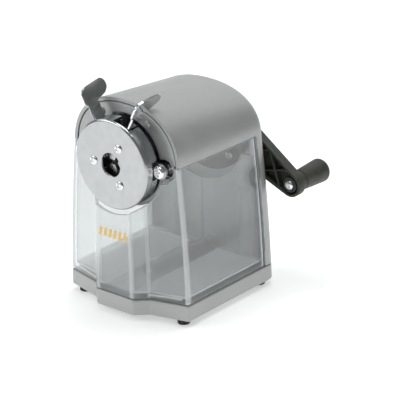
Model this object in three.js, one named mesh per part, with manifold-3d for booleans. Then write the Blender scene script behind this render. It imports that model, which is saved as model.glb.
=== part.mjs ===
// Desktop pencil sharpener with a hand crank, a pencil chuck on a sprung carriage and a clear
// shavings drawer. Millimetres. X points right seen from the front, +Y to the back, +Z up.
// The pencil goes in along +Y. The exported group stands on z = 0 with its box centred.
import * as THREE from 'three';
import { mergeVertices } from 'three/addons/utils/BufferGeometryUtils.js';
import Module from 'manifold-3d';

const wasm = await Module();
wasm.setup();

// ---------------------------------------------------------------- driving dimensions
// body
const BASE_HALF_WIDTH = 38; // at the bottom of the base
const BASE_HEIGHT = 8;
const BODY_REAR = 66; // outer face of the rear wall, measured from the front corners
const REAR_CORNER_RADIUS = 5;
const AXIS_HEIGHT = 75; // pencil axis above the base's underside
const ARCH_MARGIN = 0.6; // between the rod pockets and the bezel's edge
const CREST_OVER_CUP = 7.5; // the hood's crest above the face cup
const ARCH_POWER = 2.25; // 2 is an ellipse
const CREST_DROP = 7.4; // the crest falls this far from front to back
const EAVE_RISE = 2.2; // lower edge of the hood above the pencil axis, at the front
const EAVE_DROP = 1.6; // it falls this far to the back
const SIDE_CURVE = 1.7; // power of the sides' inward curve
const FRONT_LEAN = 0.018; // the front leans back this much for each mm of height
const SHELL = 2; // hood, base and rear wall
const REAR_COLUMN = 8; // depth of the opaque column behind the drawer
const FIT = 0.35; // gap between pieces that only touch
// front outline of the base and drawer
const HOOD_FRONT = 0.6; // at the foot of the lean
const WING_HALF_WIDTH = 17.6;
const WING_REACH = 5.1;
const BAY_HALF_WIDTH = 11.6;
const BAY_REACH = 10.5;
// feet
const FOOT_RADIUS = 3.2;
const FOOT_HEIGHT = 3;
const FOOT_INSET = 6.1;
const FRONT_FOOT_STEP = 2.9; // the front pair stands this much nearer its edge
const FOOT_SEAT_WALL = 1.4;
// drawer
const DRAWER_WALL = 1.8;
const DRAWER_FLOOR = 2;
const DRAWER_GAP = 0.7; // over the base
const BACK_WALL_DROP = 9; // top of the back wall below the pencil axis
const BACK_CUTOUT_GAP = 0.4; // round the rods' clips
// table clamp socket in the base
const SOCKET_RADIUS = 3.8;
const SOCKET_WALL = 1.4;
const SOCKET_FRONT = 20;
const SOCKET_AXIS_ABOVE_BASE = 0.2;
// face cup
const CUP_RADIUS = 22.5;
const CUP_FRONT = -9;
const CUP_BACK = -0.6;
const CUP_WALL = 1.2;
const CUP_FACE = 1;
const PENCIL_HOLE_RADIUS = 5.85;
const RIVET_INSET = 3.4; // screws' circle inside the cam ring
const RIVET_HEAD_RADIUS = 2.2;
const RIVET_SHANK_RADIUS = 1.1;
// ears
const EAR_ANGLE = 62; // up from the horizontal, on both sides
const EAR_SHEET = 1.2;
const EAR_LENGTH = 17.6; // along the pencil axis
const EAR_WIDTH = 8.2;
const EAR_ROUND = 3.6;
const EAR_FRONT = -9;
const EAR_GAP = 0.1; // over the hood's front edge
const EAR_TILT = 0.134; // rise to the back
const EAR_STEM = 7.4; // depth of the stem
const PINCH = 22; // degrees that the moving ear travels
// chuck
const RING_GAP = 0.9; // inside the cup
const RING_WIDTH = 6.2;
const RING_SHEET = 1.2;
const JAW_TRAVEL = 2.6;
const JAW_GAP = 1.3; // jaw tips from the axis when closed
const JAW_WIDTH = 6;
const JAW_DEPTH = 3.2;
const JAW_PIN_RADIUS = 1;
const JAW_PIN_INSET = 2; // from the cam ring's inner edge
// carriage
const ROD_CLEAR = 2.1; // guide rods' axes outside the cup
const ROD_RADIUS = 1.5;
const ROD_END_GAP = 8; // ends of the rods from the rear face
const CARRIAGE_SHEET = 1.2;
const EAR_PLATE_RADIUS = 3.9;
const ROD_HEAD_RADIUS = 3.3;
const CLIP_RADIUS = 2.6;
const CLIP_SHEET = 1;
const SPRING_CLEAR = 0.85; // the wire's middle outside the rod
const SPRING_WIRE = 0.5;
// front bezel and bulkhead
const BEZEL_SHEET = 2;
const BEZEL_FRONT = 2.2;
const BEZEL_INSET = 0.4; // inside the hood's wall
const BEZEL_LIP = 0.9; // the bezel's opening inside the cup's edge
const BEZEL_MARGIN = 1.5; // its lower disc outside the cup's edge
const POCKET_RADIUS = 4.7; // round recess for a rod's head
const POCKET_WALL = 1.1;
const BULKHEAD_FRONT = 5.2;
const BULKHEAD_SHEET = 1.8;
// cutter head
const CARRIER_RIM = 0.7; // outside the cutter's pin
const CARRIER_BORE = 5.4;
const CUTTER_RADIUS = 5.1;
const CUTTER_BLADES = 8;
const POINT_HALF_ANGLE = 10.8; // degrees
const CUTTER_LENGTH = 29;
const CUTTER_PAST_TIP = 1.5; // the cutter runs this far past the pencil's point
const TIP_TO_REAR = 23.5; // from the pencil's point to the rear face
const CUTTER_PIN_RADIUS = 1.5;
const GEAR_MODULE = 0.7;
const RING_TEETH = 26;
const PINION_TEETH = 14;
const PINION_WIDTH = 2.2;
const GEAR_CASE_RADIUS = 24.6;
// crank
const SHAFT_RADIUS = 3;
const CRANK_RADIUS = 52;
const CRANK_ANGLE = -29; // at rest, from the horizontal
const CRANK_GAP = 2.6; // behind the rear face
const CRANK_DEPTH = 5.4;
const CRANK_WALL = 1.5;
const CRANK_HUB_RADIUS = 12.5;
const CRANK_END_RADIUS = 6.3;
const HANDLE_RADIUS_NEAR = 5;
const HANDLE_RADIUS_FAR = 6;
const HANDLE_LENGTH = 20;
const HANDLE_PIN_RADIUS = 1.7;
const RUN = 0.3; // running clearance on a radius

// ---------------------------------------------------------------- sizes that follow from them
const cupInner = CUP_RADIUS - CUP_WALL;
const rodSpacing = CUP_RADIUS + ROD_CLEAR; // guide rods from the pencil axis
const rodEnd = BODY_REAR - ROD_END_GAP;
const springRadius = ROD_RADIUS + SPRING_CLEAR;
const pocketBoss = POCKET_RADIUS + POCKET_WALL;
const bezelHole = CUP_RADIUS - BEZEL_LIP;
const bezelDiscRadius = CUP_RADIUS + BEZEL_MARGIN;
const archHalfWidth = rodSpacing + pocketBoss + ARCH_MARGIN + BEZEL_INSET + SHELL;
const archRise = CUP_RADIUS + CREST_OVER_CUP;
const ringOuter = cupInner - RING_GAP;
const ringInner = ringOuter - RING_WIDTH;
const rivetCircle = ringInner - RIVET_INSET;
const jawPinCircle = ringInner + JAW_PIN_INSET;
const pencilTip = BODY_REAR - TIP_TO_REAR;
const cutterFront = pencilTip + CUTTER_PAST_TIP - CUTTER_LENGTH;
const crankFront = BODY_REAR + CRANK_GAP;

// ---------------------------------------------------------------- materials
function finish(color, roughness, metalness) {
  return new THREE.MeshStandardMaterial({ color, roughness, metalness });
}
const silver = finish(0xa2a6a8, 0.42, 0.55);
const chrome = finish(0xd4d6d8, 0.16, 1);
const satin = finish(0xbfc2c4, 0.3, 1);
const steel = finish(0x8e9092, 0.3, 1);
const darkSteel = finish(0x4a4c4e, 0.45, 0.9);
const darkPlastic = finish(0x3c3e38, 0.6, 0);
const rubber = finish(0x151515, 0.85, 0);
const brass = finish(0xb9a46a, 0.35, 1);
const clear = new THREE.MeshStandardMaterial({
  color: 0xe6eaec,
  roughness: 0.08,
  metalness: 0,
  transparent: true,
  opacity: 0.3,
});

// ---------------------------------------------------------------- helpers
const sin = (degrees) => Math.sin(THREE.MathUtils.degToRad(degrees));
const cos = (degrees) => Math.cos(THREE.MathUtils.degToRad(degrees));
const root = new THREE.Group();

function solid(geometry) {
  const bare = geometry.clone();
  bare.deleteAttribute('normal');
  bare.deleteAttribute('uv');
  const merged = mergeVertices(bare, 1e-4);
  return new wasm.Manifold(
    new wasm.Mesh({
      numProp: 3,
      vertProperties: new Float32Array(merged.attributes.position.array),
      triVerts: new Uint32Array(merged.index.array),
    }),
  );
}

function add(name, body, material) {
  const mesh = body.getMesh();
  const geometry = new THREE.BufferGeometry();
  geometry.setAttribute('position', new THREE.BufferAttribute(mesh.vertProperties.slice(), 3));
  geometry.setIndex(new THREE.BufferAttribute(mesh.triVerts.slice(), 1));
  const node = new THREE.Mesh(geometry, material);
  node.name = name;
  root.add(node);
}

// joins a list of solids into one
function join(...bodies) {
  return bodies.reduce((whole, body) => whole.add(body));
}

// cuts each further solid from the first
function cut(body, ...tools) {
  return tools.reduce((rest, tool) => rest.subtract(tool), body);
}

function box(x0, x1, y0, y1, z0, z1) {
  const geometry = new THREE.BoxGeometry(x1 - x0, y1 - y0, z1 - z0);
  geometry.translate((x0 + x1) / 2, (y0 + y1) / 2, (z0 + z1) / 2);
  return solid(geometry);
}

// round bar along +Y from y0 to y1, with its axis through (x, z)
function rod(x, z, radius, y0, y1, sides = 24, radiusFar = radius) {
  const geometry = new THREE.CylinderGeometry(radiusFar, radius, y1 - y0, sides);
  geometry.translate(x, (y0 + y1) / 2, z);
  return solid(geometry);
}

// body turned about Y from a profile of [radius, y] points, with its axis through (x, z)
function turned(x, z, profile, sides = 32) {
  const geometry = new THREE.LatheGeometry(
    profile.map(([radius, y]) => new THREE.Vector2(radius, y)),
    sides,
  );
  geometry.translate(x, 0, z);
  return solid(geometry);
}

// plate in the XZ plane, from y0 to y1
function plate(shape, y0, y1, steps = 1, curveSegments = 12) {
  const geometry = new THREE.ExtrudeGeometry(shape, {
    depth: y1 - y0,
    bevelEnabled: false,
    steps,
    curveSegments,
  });
  geometry.rotateX(Math.PI / 2);
  geometry.translate(0, y1, 0);
  return geometry;
}

// slab in the XY plane, from z0 to z1
function slab(shape, z0, z1, steps = 1) {
  const geometry = new THREE.ExtrudeGeometry(shape, {
    depth: z1 - z0,
    bevelEnabled: false,
    steps,
    curveSegments: 4,
  });
  geometry.translate(0, 0, z0);
  return geometry;
}

// a solid turned about the pencil axis, counter-clockwise seen from the front
function turnedAboutAxis(body, degrees) {
  return body
    .translate([0, 0, -AXIS_HEIGHT])
    .rotate([0, -degrees, 0])
    .translate([0, 0, AXIS_HEIGHT]);
}

const ARC_STEP = 8; // degrees
// sector between two angles, from r0 to r1 and y0 to y1
function sector(r0, r1, from, to, y0, y1) {
  const shape = new THREE.Shape();
  const a = THREE.MathUtils.degToRad(from);
  const b = THREE.MathUtils.degToRad(to);
  shape.absarc(0, 0, r1, a, b, false);
  shape.absarc(0, 0, r0, b, a, true);
  shape.closePath();
  const parts = Math.max(1, Math.ceil((to - from) / ARC_STEP / 2));
  return solid(plate(shape, y0, y1, 1, parts).translate(0, 0, AXIS_HEIGHT));
}

// ---------------------------------------------------------------- the body's outer form
const sideAt = (z) => BASE_HALF_WIDTH
  - (BASE_HALF_WIDTH - archHalfWidth) * Math.max(z / AXIS_HEIGHT, 0) ** SIDE_CURVE;
const eaveAt = (y) => AXIS_HEIGHT + EAVE_RISE - EAVE_DROP * (y / BODY_REAR);
const crestAt = (y) => archRise - CREST_DROP * (y / BODY_REAR);

// bends a straight-sided solid to the body's form: sides curve in, the front leans back
function shaped(geometry) {
  const place = geometry.attributes.position;
  for (let i = 0; i < place.count; i += 1) {
    const z = place.getZ(i);
    const y = place.getY(i);
    const forward = 1 - Math.min(Math.max(y / BODY_REAR, 0), 1);
    place.setX(i, place.getX(i) * sideAt(z) / BASE_HALF_WIDTH);
    place.setY(i, y + FRONT_LEAN * z * forward);
  }
  return geometry;
}

// outline of the base and drawer seen from above, drawn in by inset
function footprint(inset, rear) {
  const shape = new THREE.Shape();
  const half = BASE_HALF_WIDTH - inset;
  const slant = inset * 0.45;
  shape.moveTo(-half, inset * 1.05);
  shape.lineTo(-WING_HALF_WIDTH + slant, -WING_REACH + inset);
  shape.lineTo(-BAY_HALF_WIDTH + slant, -BAY_REACH + inset);
  shape.lineTo(BAY_HALF_WIDTH - slant, -BAY_REACH + inset);
  shape.lineTo(WING_HALF_WIDTH - slant, -WING_REACH + inset);
  shape.lineTo(half, inset * 1.05);
  return { shape, half, rear };
}

function closedSquare({ shape, half, rear }) {
  shape.lineTo(half, rear);
  shape.lineTo(-half, rear);
  return shape;
}

function closedRound({ shape, half, rear }, radius) {
  shape.lineTo(half, rear - radius);
  shape.absarc(half - radius, rear - radius, radius, 0, Math.PI / 2, false);
  shape.lineTo(-half + radius, rear);
  shape.absarc(-half + radius, rear - radius, radius, Math.PI / 2, Math.PI, false);
  return shape;
}

// section of the hood and rear column: straight sides up to the axis, then the arch
function hoodSection(inset, bottom) {
  const shape = new THREE.Shape();
  const levels = 5;
  const arcs = 24;
  const sideInset = (x, z) => x - inset * (z < AXIS_HEIGHT ? 1 : 0);
  for (let i = 0; i <= levels; i += 1) {
    const z = bottom + (AXIS_HEIGHT - bottom) * (i / levels);
    const x = sideInset(sideAt(z), z - 1);
    if (i === 0) shape.moveTo(x, z);
    else shape.lineTo(x, z);
  }
  for (let i = 1; i < arcs; i += 1) {
    const turn = (Math.PI * i) / arcs;
    const c = Math.cos(turn);
    const s = Math.sin(turn);
    const x = Math.sign(c) * Math.abs(c) ** (2 / ARCH_POWER) * (archHalfWidth - inset);
    const z = s ** (2 / ARCH_POWER) * (archRise - inset);
    shape.lineTo(x, AXIS_HEIGHT + z);
  }
  for (let i = levels; i >= 0; i -= 1) {
    const z = bottom + (AXIS_HEIGHT - bottom) * (i / levels);
    shape.lineTo(-sideInset(sideAt(z), z - 1), z);
  }
  return shape;
}

// the section carried to the back: the crest drops, the front leans and the rear edges are rounded
const HOOD_STEPS = 2;
const ROUND_STEPS = 4;
function hoodSolid(inset, bottom, front) {
  const rear = BODY_REAR - inset;
  const round = REAR_CORNER_RADIUS - inset;
  const geometry = plate(hoodSection(inset, bottom), 0, 1, HOOD_STEPS + ROUND_STEPS);
  const place = geometry.attributes.position;
  const straight = HOOD_STEPS / (HOOD_STEPS + ROUND_STEPS);
  for (let i = 0; i < place.count; i += 1) {
    const share = place.getY(i);
    const turn = Math.max((share - straight) / (1 - straight), 0) * 0.5 * Math.PI;
    const along = Math.min(share / straight, 1);
    const y = front + (rear - round - front) * along + round * Math.sin(turn);
    const above = Math.max(place.getZ(i) - AXIS_HEIGHT, 0);
    const forward = 1 - Math.min(Math.max(y / BODY_REAR, 0), 1);
    const pull = round * (1 - Math.cos(turn));
    const x = place.getX(i);
    const squeeze = 1 - pull / archHalfWidth;
    place.setX(i, x * squeeze);
    place.setZ(i, place.getZ(i) - above * (1 - (crestAt(y) / archRise) * squeeze));
    place.setY(i, y + FRONT_LEAN * place.getZ(i) * forward);
  }
  return solid(geometry);
}

// ---------------------------------------------------------------- base, feet and screws
const socketZ = BASE_HEIGHT + SOCKET_AXIS_ABOVE_BASE;
const socketOuter = SOCKET_RADIUS + SOCKET_WALL;
const BAR_SIDES = 16;
const footPlaces = [
  ['front_left', -1, FOOT_INSET - FRONT_FOOT_STEP],
  ['front_right', 1, FOOT_INSET - FRONT_FOOT_STEP],
  ['rear_left', -1, BODY_REAR - FOOT_INSET],
  ['rear_right', 1, BODY_REAR - FOOT_INSET],
].map(([name, side, y]) => ({ name, x: side * (BASE_HALF_WIDTH - FOOT_INSET), y }));
const BASE_SCREW_RADIUS = 1.4;
const BASE_SCREW_HEAD = 2.8;
const screwPlaces = [
  ['left', -22, BODY_REAR - REAR_COLUMN / 2],
  ['right', 22, BODY_REAR - REAR_COLUMN / 2],
].map(([name, x, y]) => ({ name, x, y }));

// upright round bar
function post(x, y, radius, z0, z1, sides = 14) {
  const geometry = new THREE.CylinderGeometry(radius, radius, z1 - z0, sides);
  geometry.rotateX(Math.PI / 2);
  geometry.translate(x, y, (z0 + z1) / 2);
  return solid(geometry);
}

const SCREW_SEAT = 3.2;
const columnFront = BODY_REAR - REAR_COLUMN;
const basePlan = closedRound(footprint(0, BODY_REAR), REAR_CORNER_RADIUS);
const baseOuter = solid(shaped(slab(basePlan, 0, BASE_HEIGHT)));
const hollowPlan = closedRound(footprint(SHELL, BODY_REAR - SHELL), REAR_CORNER_RADIUS - SHELL);
const baseHollow = solid(shaped(slab(hollowPlan, -1, BASE_HEIGHT - SHELL)));
// round-nosed bar along the socket's axis
function socketBar(radius, rear) {
  const nose = new THREE.SphereGeometry(radius, BAR_SIDES, BAR_SIDES / 2);
  nose.rotateX(Math.PI / 2);
  nose.translate(0, SOCKET_FRONT, socketZ);
  return join(rod(0, socketZ, radius, SOCKET_FRONT, rear, BAR_SIDES), solid(nose));
}
const baseStuds = [
  ...footPlaces.map(({ x, y }) => post(x, y, FOOT_RADIUS + FOOT_SEAT_WALL, 0, BASE_HEIGHT - SHELL / 2)),
  ...screwPlaces.map(({ x, y }) => post(x, y, BASE_SCREW_HEAD + 1.4, 0, BASE_HEIGHT - SHELL / 2)),
].map((stud) => stud.intersect(baseOuter));
const socketBoss = socketBar(socketOuter, BODY_REAR - SHELL / 2);
const baseBlank = join(cut(baseOuter, baseHollow), socketBoss, ...baseStuds);
const socketBore = rod(0, socketZ, SOCKET_RADIUS, SOCKET_FRONT, BODY_REAR + 5, BAR_SIDES);
const FOOT_RECESS = 1;
add('base', cut(
  baseBlank,
  socketBore,
  box(-20, 20, columnFront - FIT, BODY_REAR + 1, BASE_HEIGHT, BASE_HEIGHT + 20),
  ...footPlaces.map(({ x, y }) => post(x, y, FOOT_RADIUS + FIT, -1, FOOT_RECESS + FIT)),
  ...screwPlaces.map(({ x, y }) => post(x, y, BASE_SCREW_HEAD + FIT, -1, SCREW_SEAT + FIT)),
  ...screwPlaces.map(({ x, y }) => post(x, y, BASE_SCREW_RADIUS + FIT, 0, BASE_HEIGHT + 1)),
), silver);
for (const { name, x, y } of footPlaces) {
  add(`foot_${name}`, post(x, y, FOOT_RADIUS, -FOOT_HEIGHT, FOOT_RECESS, 20), rubber);
}
const SCREW_REACH = 9;
for (const { name, x, y } of screwPlaces) {
  add(`base_screw_${name}`, join(
    cut(
      post(x, y, BASE_SCREW_HEAD, 1, SCREW_SEAT),
      box(x - 2, x + 2, y - 0.4, y + 0.4, 0, 1.9),
      box(x - 0.4, x + 0.4, y - 2, y + 2, 0, 1.9),
    ),
    post(x, y, BASE_SCREW_RADIUS, SCREW_SEAT - 0.2, BASE_HEIGHT + SCREW_REACH),
  ), steel);
}

// ---------------------------------------------------------------- hood with its rear column
const hoodOuter = hoodSolid(0, BASE_HEIGHT, HOOD_FRONT);
const hoodInner = hoodSolid(SHELL, -5, HOOD_FRONT - 5);
const eaveCut = new THREE.Shape();
eaveCut.moveTo(-5, -10);
eaveCut.lineTo(columnFront, -10);
eaveCut.lineTo(columnFront, eaveAt(columnFront));
eaveCut.lineTo(-5, eaveAt(-5));
const drawerZone = solid(
  new THREE.ExtrudeGeometry(eaveCut, { depth: 100, bevelEnabled: false })
    .applyMatrix4(new THREE.Matrix4().set(0, 0, 1, -50, 1, 0, 0, 0, 0, 1, 0, 0, 0, 0, 0, 1)),
);
const COLUMN_BELOW_CASE = 6;
const SCREW_COLUMN_WALL = 2;
const columnTop = AXIS_HEIGHT - GEAR_CASE_RADIUS - COLUMN_BELOW_CASE;
const screwColumns = screwPlaces.map(({ x, y }) => (
  post(x, y, BASE_SCREW_RADIUS + SCREW_COLUMN_WALL, BASE_HEIGHT + FIT, columnTop)
));
const SHAFT_HOLE = 6;
const caseLimit = hoodSolid(SHELL + FIT, -5, 0);
const BEZEL_SCREW_ANGLE = 54.7; // up from the horizontal
const BEZEL_SCREW_OUTSET = 2.75; // outside the cup
const bezelScrewCircle = CUP_RADIUS + BEZEL_SCREW_OUTSET;
const bezelScrewPlaces = [-1, 1].map((side) => ({
  name: side < 0 ? 'left' : 'right',
  x: side * bezelScrewCircle * cos(BEZEL_SCREW_ANGLE),
  z: AXIS_HEIGHT + bezelScrewCircle * sin(BEZEL_SCREW_ANGLE),
}));
const BEZEL_SCREW_RADIUS = 1;
const BEZEL_SCREW_HEAD = 1.8;
const bulkheadBack = BULKHEAD_FRONT + BULKHEAD_SHEET;
const bosses = bezelScrewPlaces.map(({ x, z }) => join(
  rod(x, z, 2.4, bulkheadBack + FIT, 16, 14),
  box(x - 1.1, x + 1.1, bulkheadBack + 2, 16, z, AXIS_HEIGHT + archRise),
).intersect(hoodOuter));
const hoodBlank = join(
  cut(hoodOuter, hoodInner),
  ...screwColumns.map((column) => column.intersect(hoodOuter)),
  ...screwPlaces.map(({ x, y }) => box(x - 1, x + 1, y, BODY_REAR - SHELL / 2, BASE_HEIGHT + 1, columnTop)),
  ...bosses,
);
add('hood', cut(
  hoodBlank,
  drawerZone,
  box(-60, 60, -5, BODY_REAR + 5, -5, BASE_HEIGHT + FIT),
  rod(0, AXIS_HEIGHT, SHAFT_HOLE, BODY_REAR - 8, BODY_REAR + 5, 24),
  rod(0, socketZ, socketOuter + FIT, columnFront - 1, BODY_REAR + 5, BAR_SIDES),
  ...screwPlaces.map(({ x, y }) => post(x, y, BASE_SCREW_RADIUS + 0.1, 0, BASE_HEIGHT + SCREW_REACH + 1)),
  ...bezelScrewPlaces.map(({ x, z }) => rod(x, z, BEZEL_SCREW_RADIUS + 0.1, 0, 13.5, 10)),
), silver);

// ---------------------------------------------------------------- front bezel
const rodSides = [['left', -1], ['right', 1]];
function bezelShape() {
  const shape = new THREE.Shape();
  const half = archHalfWidth - SHELL - BEZEL_INSET;
  const rise = archRise - SHELL - BEZEL_INSET;
  const foot = EAVE_RISE + FIT;
  const arcs = 30;
  shape.moveTo(half - 0.1, foot);
  for (let i = 1; i < arcs; i += 1) {
    const turn = (Math.PI * i) / arcs;
    const c = Math.cos(turn);
    const x = Math.sign(c) * Math.abs(c) ** (2 / ARCH_POWER) * half;
    const z = Math.sin(turn) ** (2 / ARCH_POWER) * rise;
    if (z > foot) shape.lineTo(x, z);
  }
  shape.lineTo(-half + 0.1, foot);
  return shape;
}
const bezelBack = BEZEL_FRONT + BEZEL_SHEET;
const bezelPlate = solid(plate(bezelShape(), BEZEL_FRONT, bezelBack).translate(0, 0, AXIS_HEIGHT));
const bezelDisc = rod(0, AXIS_HEIGHT, bezelDiscRadius, BEZEL_FRONT, bezelBack, 44);
const pockets = rodSides.map(([, side]) => (
  rod(side * rodSpacing, AXIS_HEIGHT, pocketBoss, BEZEL_FRONT, bezelBack, 24)
));
add('front_bezel', cut(
  join(bezelPlate, bezelDisc, ...pockets),
  rod(0, AXIS_HEIGHT, bezelHole, 0, bezelBack + 1, 44),
  ...rodSides.map(([, side]) => (
    rod(side * rodSpacing, AXIS_HEIGHT, POCKET_RADIUS, 0, bezelBack + 1, 24)
  )),
  ...bezelScrewPlaces.map(({ x, z }) => rod(x, z, BEZEL_SCREW_RADIUS + FIT, 0, bezelBack + 1, 10)),
), silver);
for (const { name, x, z } of bezelScrewPlaces) {
  add(`bezel_screw_${name}`, join(
    turned(x, z, [
      [0, BEZEL_FRONT - 1.3],
      [1.2, BEZEL_FRONT - 1.1],
      [BEZEL_SCREW_HEAD, BEZEL_FRONT - 0.5],
      [BEZEL_SCREW_HEAD, BEZEL_FRONT - 0.05],
      [0, BEZEL_FRONT - 0.05],
    ], 16),
    rod(x, z, BEZEL_SCREW_RADIUS, BEZEL_FRONT - 0.3, 13, 10),
  ), silver);
}

// ---------------------------------------------------------------- bulkhead with the rods' bushes
const BUSH_OUTER = 2.9;
const BULKHEAD_INSET = 0.8; // inside the bezel's opening
const bulkheadRadius = bezelHole - BULKHEAD_INSET;
const bearingRadius = CARRIER_BORE + 2.2;
const STRIP_HALF = 4.4;
const STRIP_END_RADIUS = 4.9;
const bulkheadStrip = box(
  -rodSpacing,
  rodSpacing,
  BULKHEAD_FRONT,
  bulkheadBack,
  AXIS_HEIGHT - STRIP_HALF,
  AXIS_HEIGHT + STRIP_HALF,
);
const bulkheadEars = rodSides.map(([, side]) => (
  rod(side * rodSpacing, AXIS_HEIGHT, STRIP_END_RADIUS, BULKHEAD_FRONT, bulkheadBack, 16)
));
const bulkheadDisc = rod(0, AXIS_HEIGHT, bulkheadRadius, BULKHEAD_FRONT, bulkheadBack, 32);
const bulkheadArms = bezelScrewPlaces.map(({ x, z }) => {
  const angle = THREE.MathUtils.radToDeg(Math.atan2(z - AXIS_HEIGHT, x));
  const reach = Math.hypot(x, z - AXIS_HEIGHT);
  return join(
    sector(bulkheadRadius - 3, reach, angle - 6, angle + 6, BULKHEAD_FRONT, bulkheadBack),
    rod(x, z, 3, BULKHEAD_FRONT, bulkheadBack, 14),
  );
});
add('bulkhead', cut(
  join(bulkheadDisc, bulkheadStrip, ...bulkheadEars, ...bulkheadArms),
  rod(0, AXIS_HEIGHT, bearingRadius + RUN, 0, 20, 28),
  ...rodSides.map(([, side]) => rod(side * rodSpacing, AXIS_HEIGHT, BUSH_OUTER + 0.1, 0, 20, 16)),
  ...bezelScrewPlaces.map(({ x, z }) => rod(x, z, BEZEL_SCREW_RADIUS + FIT, 0, 20, 10)),
), darkSteel);
for (const [name, side] of rodSides) {
  add(`rod_bush_${name}`, turned(side * rodSpacing, AXIS_HEIGHT, [
    [ROD_RADIUS + RUN, BULKHEAD_FRONT - 0.6],
    [BUSH_OUTER, BULKHEAD_FRONT - 0.6],
    [BUSH_OUTER, bulkheadBack + 0.6],
    [ROD_RADIUS + RUN, bulkheadBack + 0.6],
    [ROD_RADIUS + RUN, BULKHEAD_FRONT - 0.6],
  ], 16), steel);
}

// ---------------------------------------------------------------- gear case and rear bush
const tiltTan = Math.tan(THREE.MathUtils.degToRad(POINT_HALF_ANGLE));
const offsetAtTip = (CUTTER_RADIUS + RUN) / cos(POINT_HALF_ANGLE);
const cutterOffsetAt = (y) => offsetAtTip + (pencilTip - y) * tiltTan;
const pitch = GEAR_MODULE / 2;
const ringPitch = RING_TEETH * pitch;
const pinionPitch = PINION_TEETH * pitch;
// the pinion sits where the cutter's axis is one centre distance from the pencil axis
const pinionY = pencilTip + (offsetAtTip - (ringPitch - pinionPitch)) / tiltTan;
const ADDENDUM = 0.42;
const ROOT_DEPTH = 0.78;
const TOOTH_SHARE = 0.36; // of the pitch, at the pitch line

// trapezoid teeth about the origin; outward teeth for a pinion, inward for a ring
function toothedShape(shape, teeth, radius, inward, phase) {
  const tip = radius + (inward ? -ADDENDUM : ADDENDUM);
  const bottom = radius + (inward ? ROOT_DEPTH : -ROOT_DEPTH);
  const step = (2 * Math.PI) / teeth;
  const wide = step * (TOOTH_SHARE / 2 + 0.1);
  const narrow = step * (TOOTH_SHARE / 2 - 0.07);
  for (let i = 0; i < teeth; i += 1) {
    const middle = phase + i * step;
    const corners = [[bottom, -wide], [tip, -narrow], [tip, narrow], [bottom, wide]];
    corners.forEach(([r, turn], corner) => {
      const x = r * Math.cos(middle + turn);
      const z = r * Math.sin(middle + turn);
      if (i === 0 && corner === 0) shape.moveTo(x, z);
      else shape.lineTo(x, z);
    });
  }
  shape.closePath();
  return shape;
}

const ringFront = pinionY - PINION_WIDTH / 2 - 0.9;
const CASE_FLANGE = 2;
const caseBack = BODY_REAR - SHELL - FIT;
const caseOuter = ringPitch + ROOT_DEPTH + 1.6;
const ringOutline = toothedShape(new THREE.Shape(), RING_TEETH, ringPitch, true, 0);
const ringTeeth = solid(
  plate(ringOutline, ringFront - 1, ringFront + PINION_WIDTH + 2.4).translate(0, 0, AXIS_HEIGHT),
);
const hubSpace = ringPitch + ROOT_DEPTH + 0.4;
const caseRoom = rod(0, AXIS_HEIGHT, hubSpace, ringFront + PINION_WIDTH + 2, caseBack - CASE_FLANGE, 28);
const onCircle = (radius, angle) => [radius * cos(angle), AXIS_HEIGHT + radius * sin(angle)];
const SHAFT_BUSH_OUTER = 5.4;
const BUSH_SEAT_CLEAR = 0.1;
const CASE_SCREW_CIRCLE = 20;
const CASE_SCREW_RADIUS = 1.4;
const CASE_SCREW_HEAD = 2.4;
const caseScrewAngles = [
  ['upper_right', 45],
  ['upper_left', 135],
  ['lower_left', 225],
  ['lower_right', 315],
];
add('gear_case', cut(
  join(
    rod(0, AXIS_HEIGHT, caseOuter, ringFront, caseBack, 32),
    rod(0, AXIS_HEIGHT, GEAR_CASE_RADIUS, caseBack - CASE_FLANGE, caseBack, 36).intersect(caseLimit),
  ),
  ringTeeth,
  caseRoom,
  rod(0, AXIS_HEIGHT, SHAFT_BUSH_OUTER + BUSH_SEAT_CLEAR, caseBack - 5, caseBack + 5, 24),
  ...caseScrewAngles.map(([, a]) => rod(
    ...onCircle(CASE_SCREW_CIRCLE, a),
    CASE_SCREW_RADIUS + FIT,
    caseBack - 5,
    caseBack + 5,
    10,
  )),
), darkPlastic);
for (const [name, a] of caseScrewAngles) {
  const [x, z] = onCircle(CASE_SCREW_CIRCLE, a);
  const flangeFront = caseBack - CASE_FLANGE;
  add(`case_screw_${name}`, join(
    rod(x, z, CASE_SCREW_RADIUS, flangeFront - 0.4, caseBack - 0.1, 10),
    turned(x, z, [
      [0, flangeFront - 1.9],
      [CASE_SCREW_HEAD, flangeFront - 1.2],
      [CASE_SCREW_HEAD, flangeFront - 0.3],
      [0, flangeFront - 0.3],
    ], 12),
  ), steel);
}
const bushFlange = crankFront - BODY_REAR - 2 * FIT;
add('shaft_bush', turned(0, AXIS_HEIGHT, [
  [SHAFT_RADIUS + RUN, caseBack - CASE_FLANGE],
  [SHAFT_BUSH_OUTER, caseBack - CASE_FLANGE],
  [SHAFT_BUSH_OUTER, BODY_REAR + FIT],
  [8, BODY_REAR + FIT],
  [8, BODY_REAR + FIT + bushFlange],
  [SHAFT_RADIUS + RUN, BODY_REAR + FIT + bushFlange],
  [SHAFT_RADIUS + RUN, caseBack - CASE_FLANGE],
], 24), brass);

// ---------------------------------------------------------------- cutter head
// u is the direction from the pencil axis to the cutter; at rest it points up
const HEAD_FRONT = bulkheadBack + RUN;
const HEAD_RING = 3.4;
const headRingBack = HEAD_FRONT + HEAD_RING;
const hubFront = pinionY + PINION_WIDTH / 2 + 1.5;
const HUB_DEPTH = 3.4;
const HUB_RADIUS = 7.6;
const ARM_INNER = 5.3;
const ARM_HALF_WIDTH = 3.7;
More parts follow.
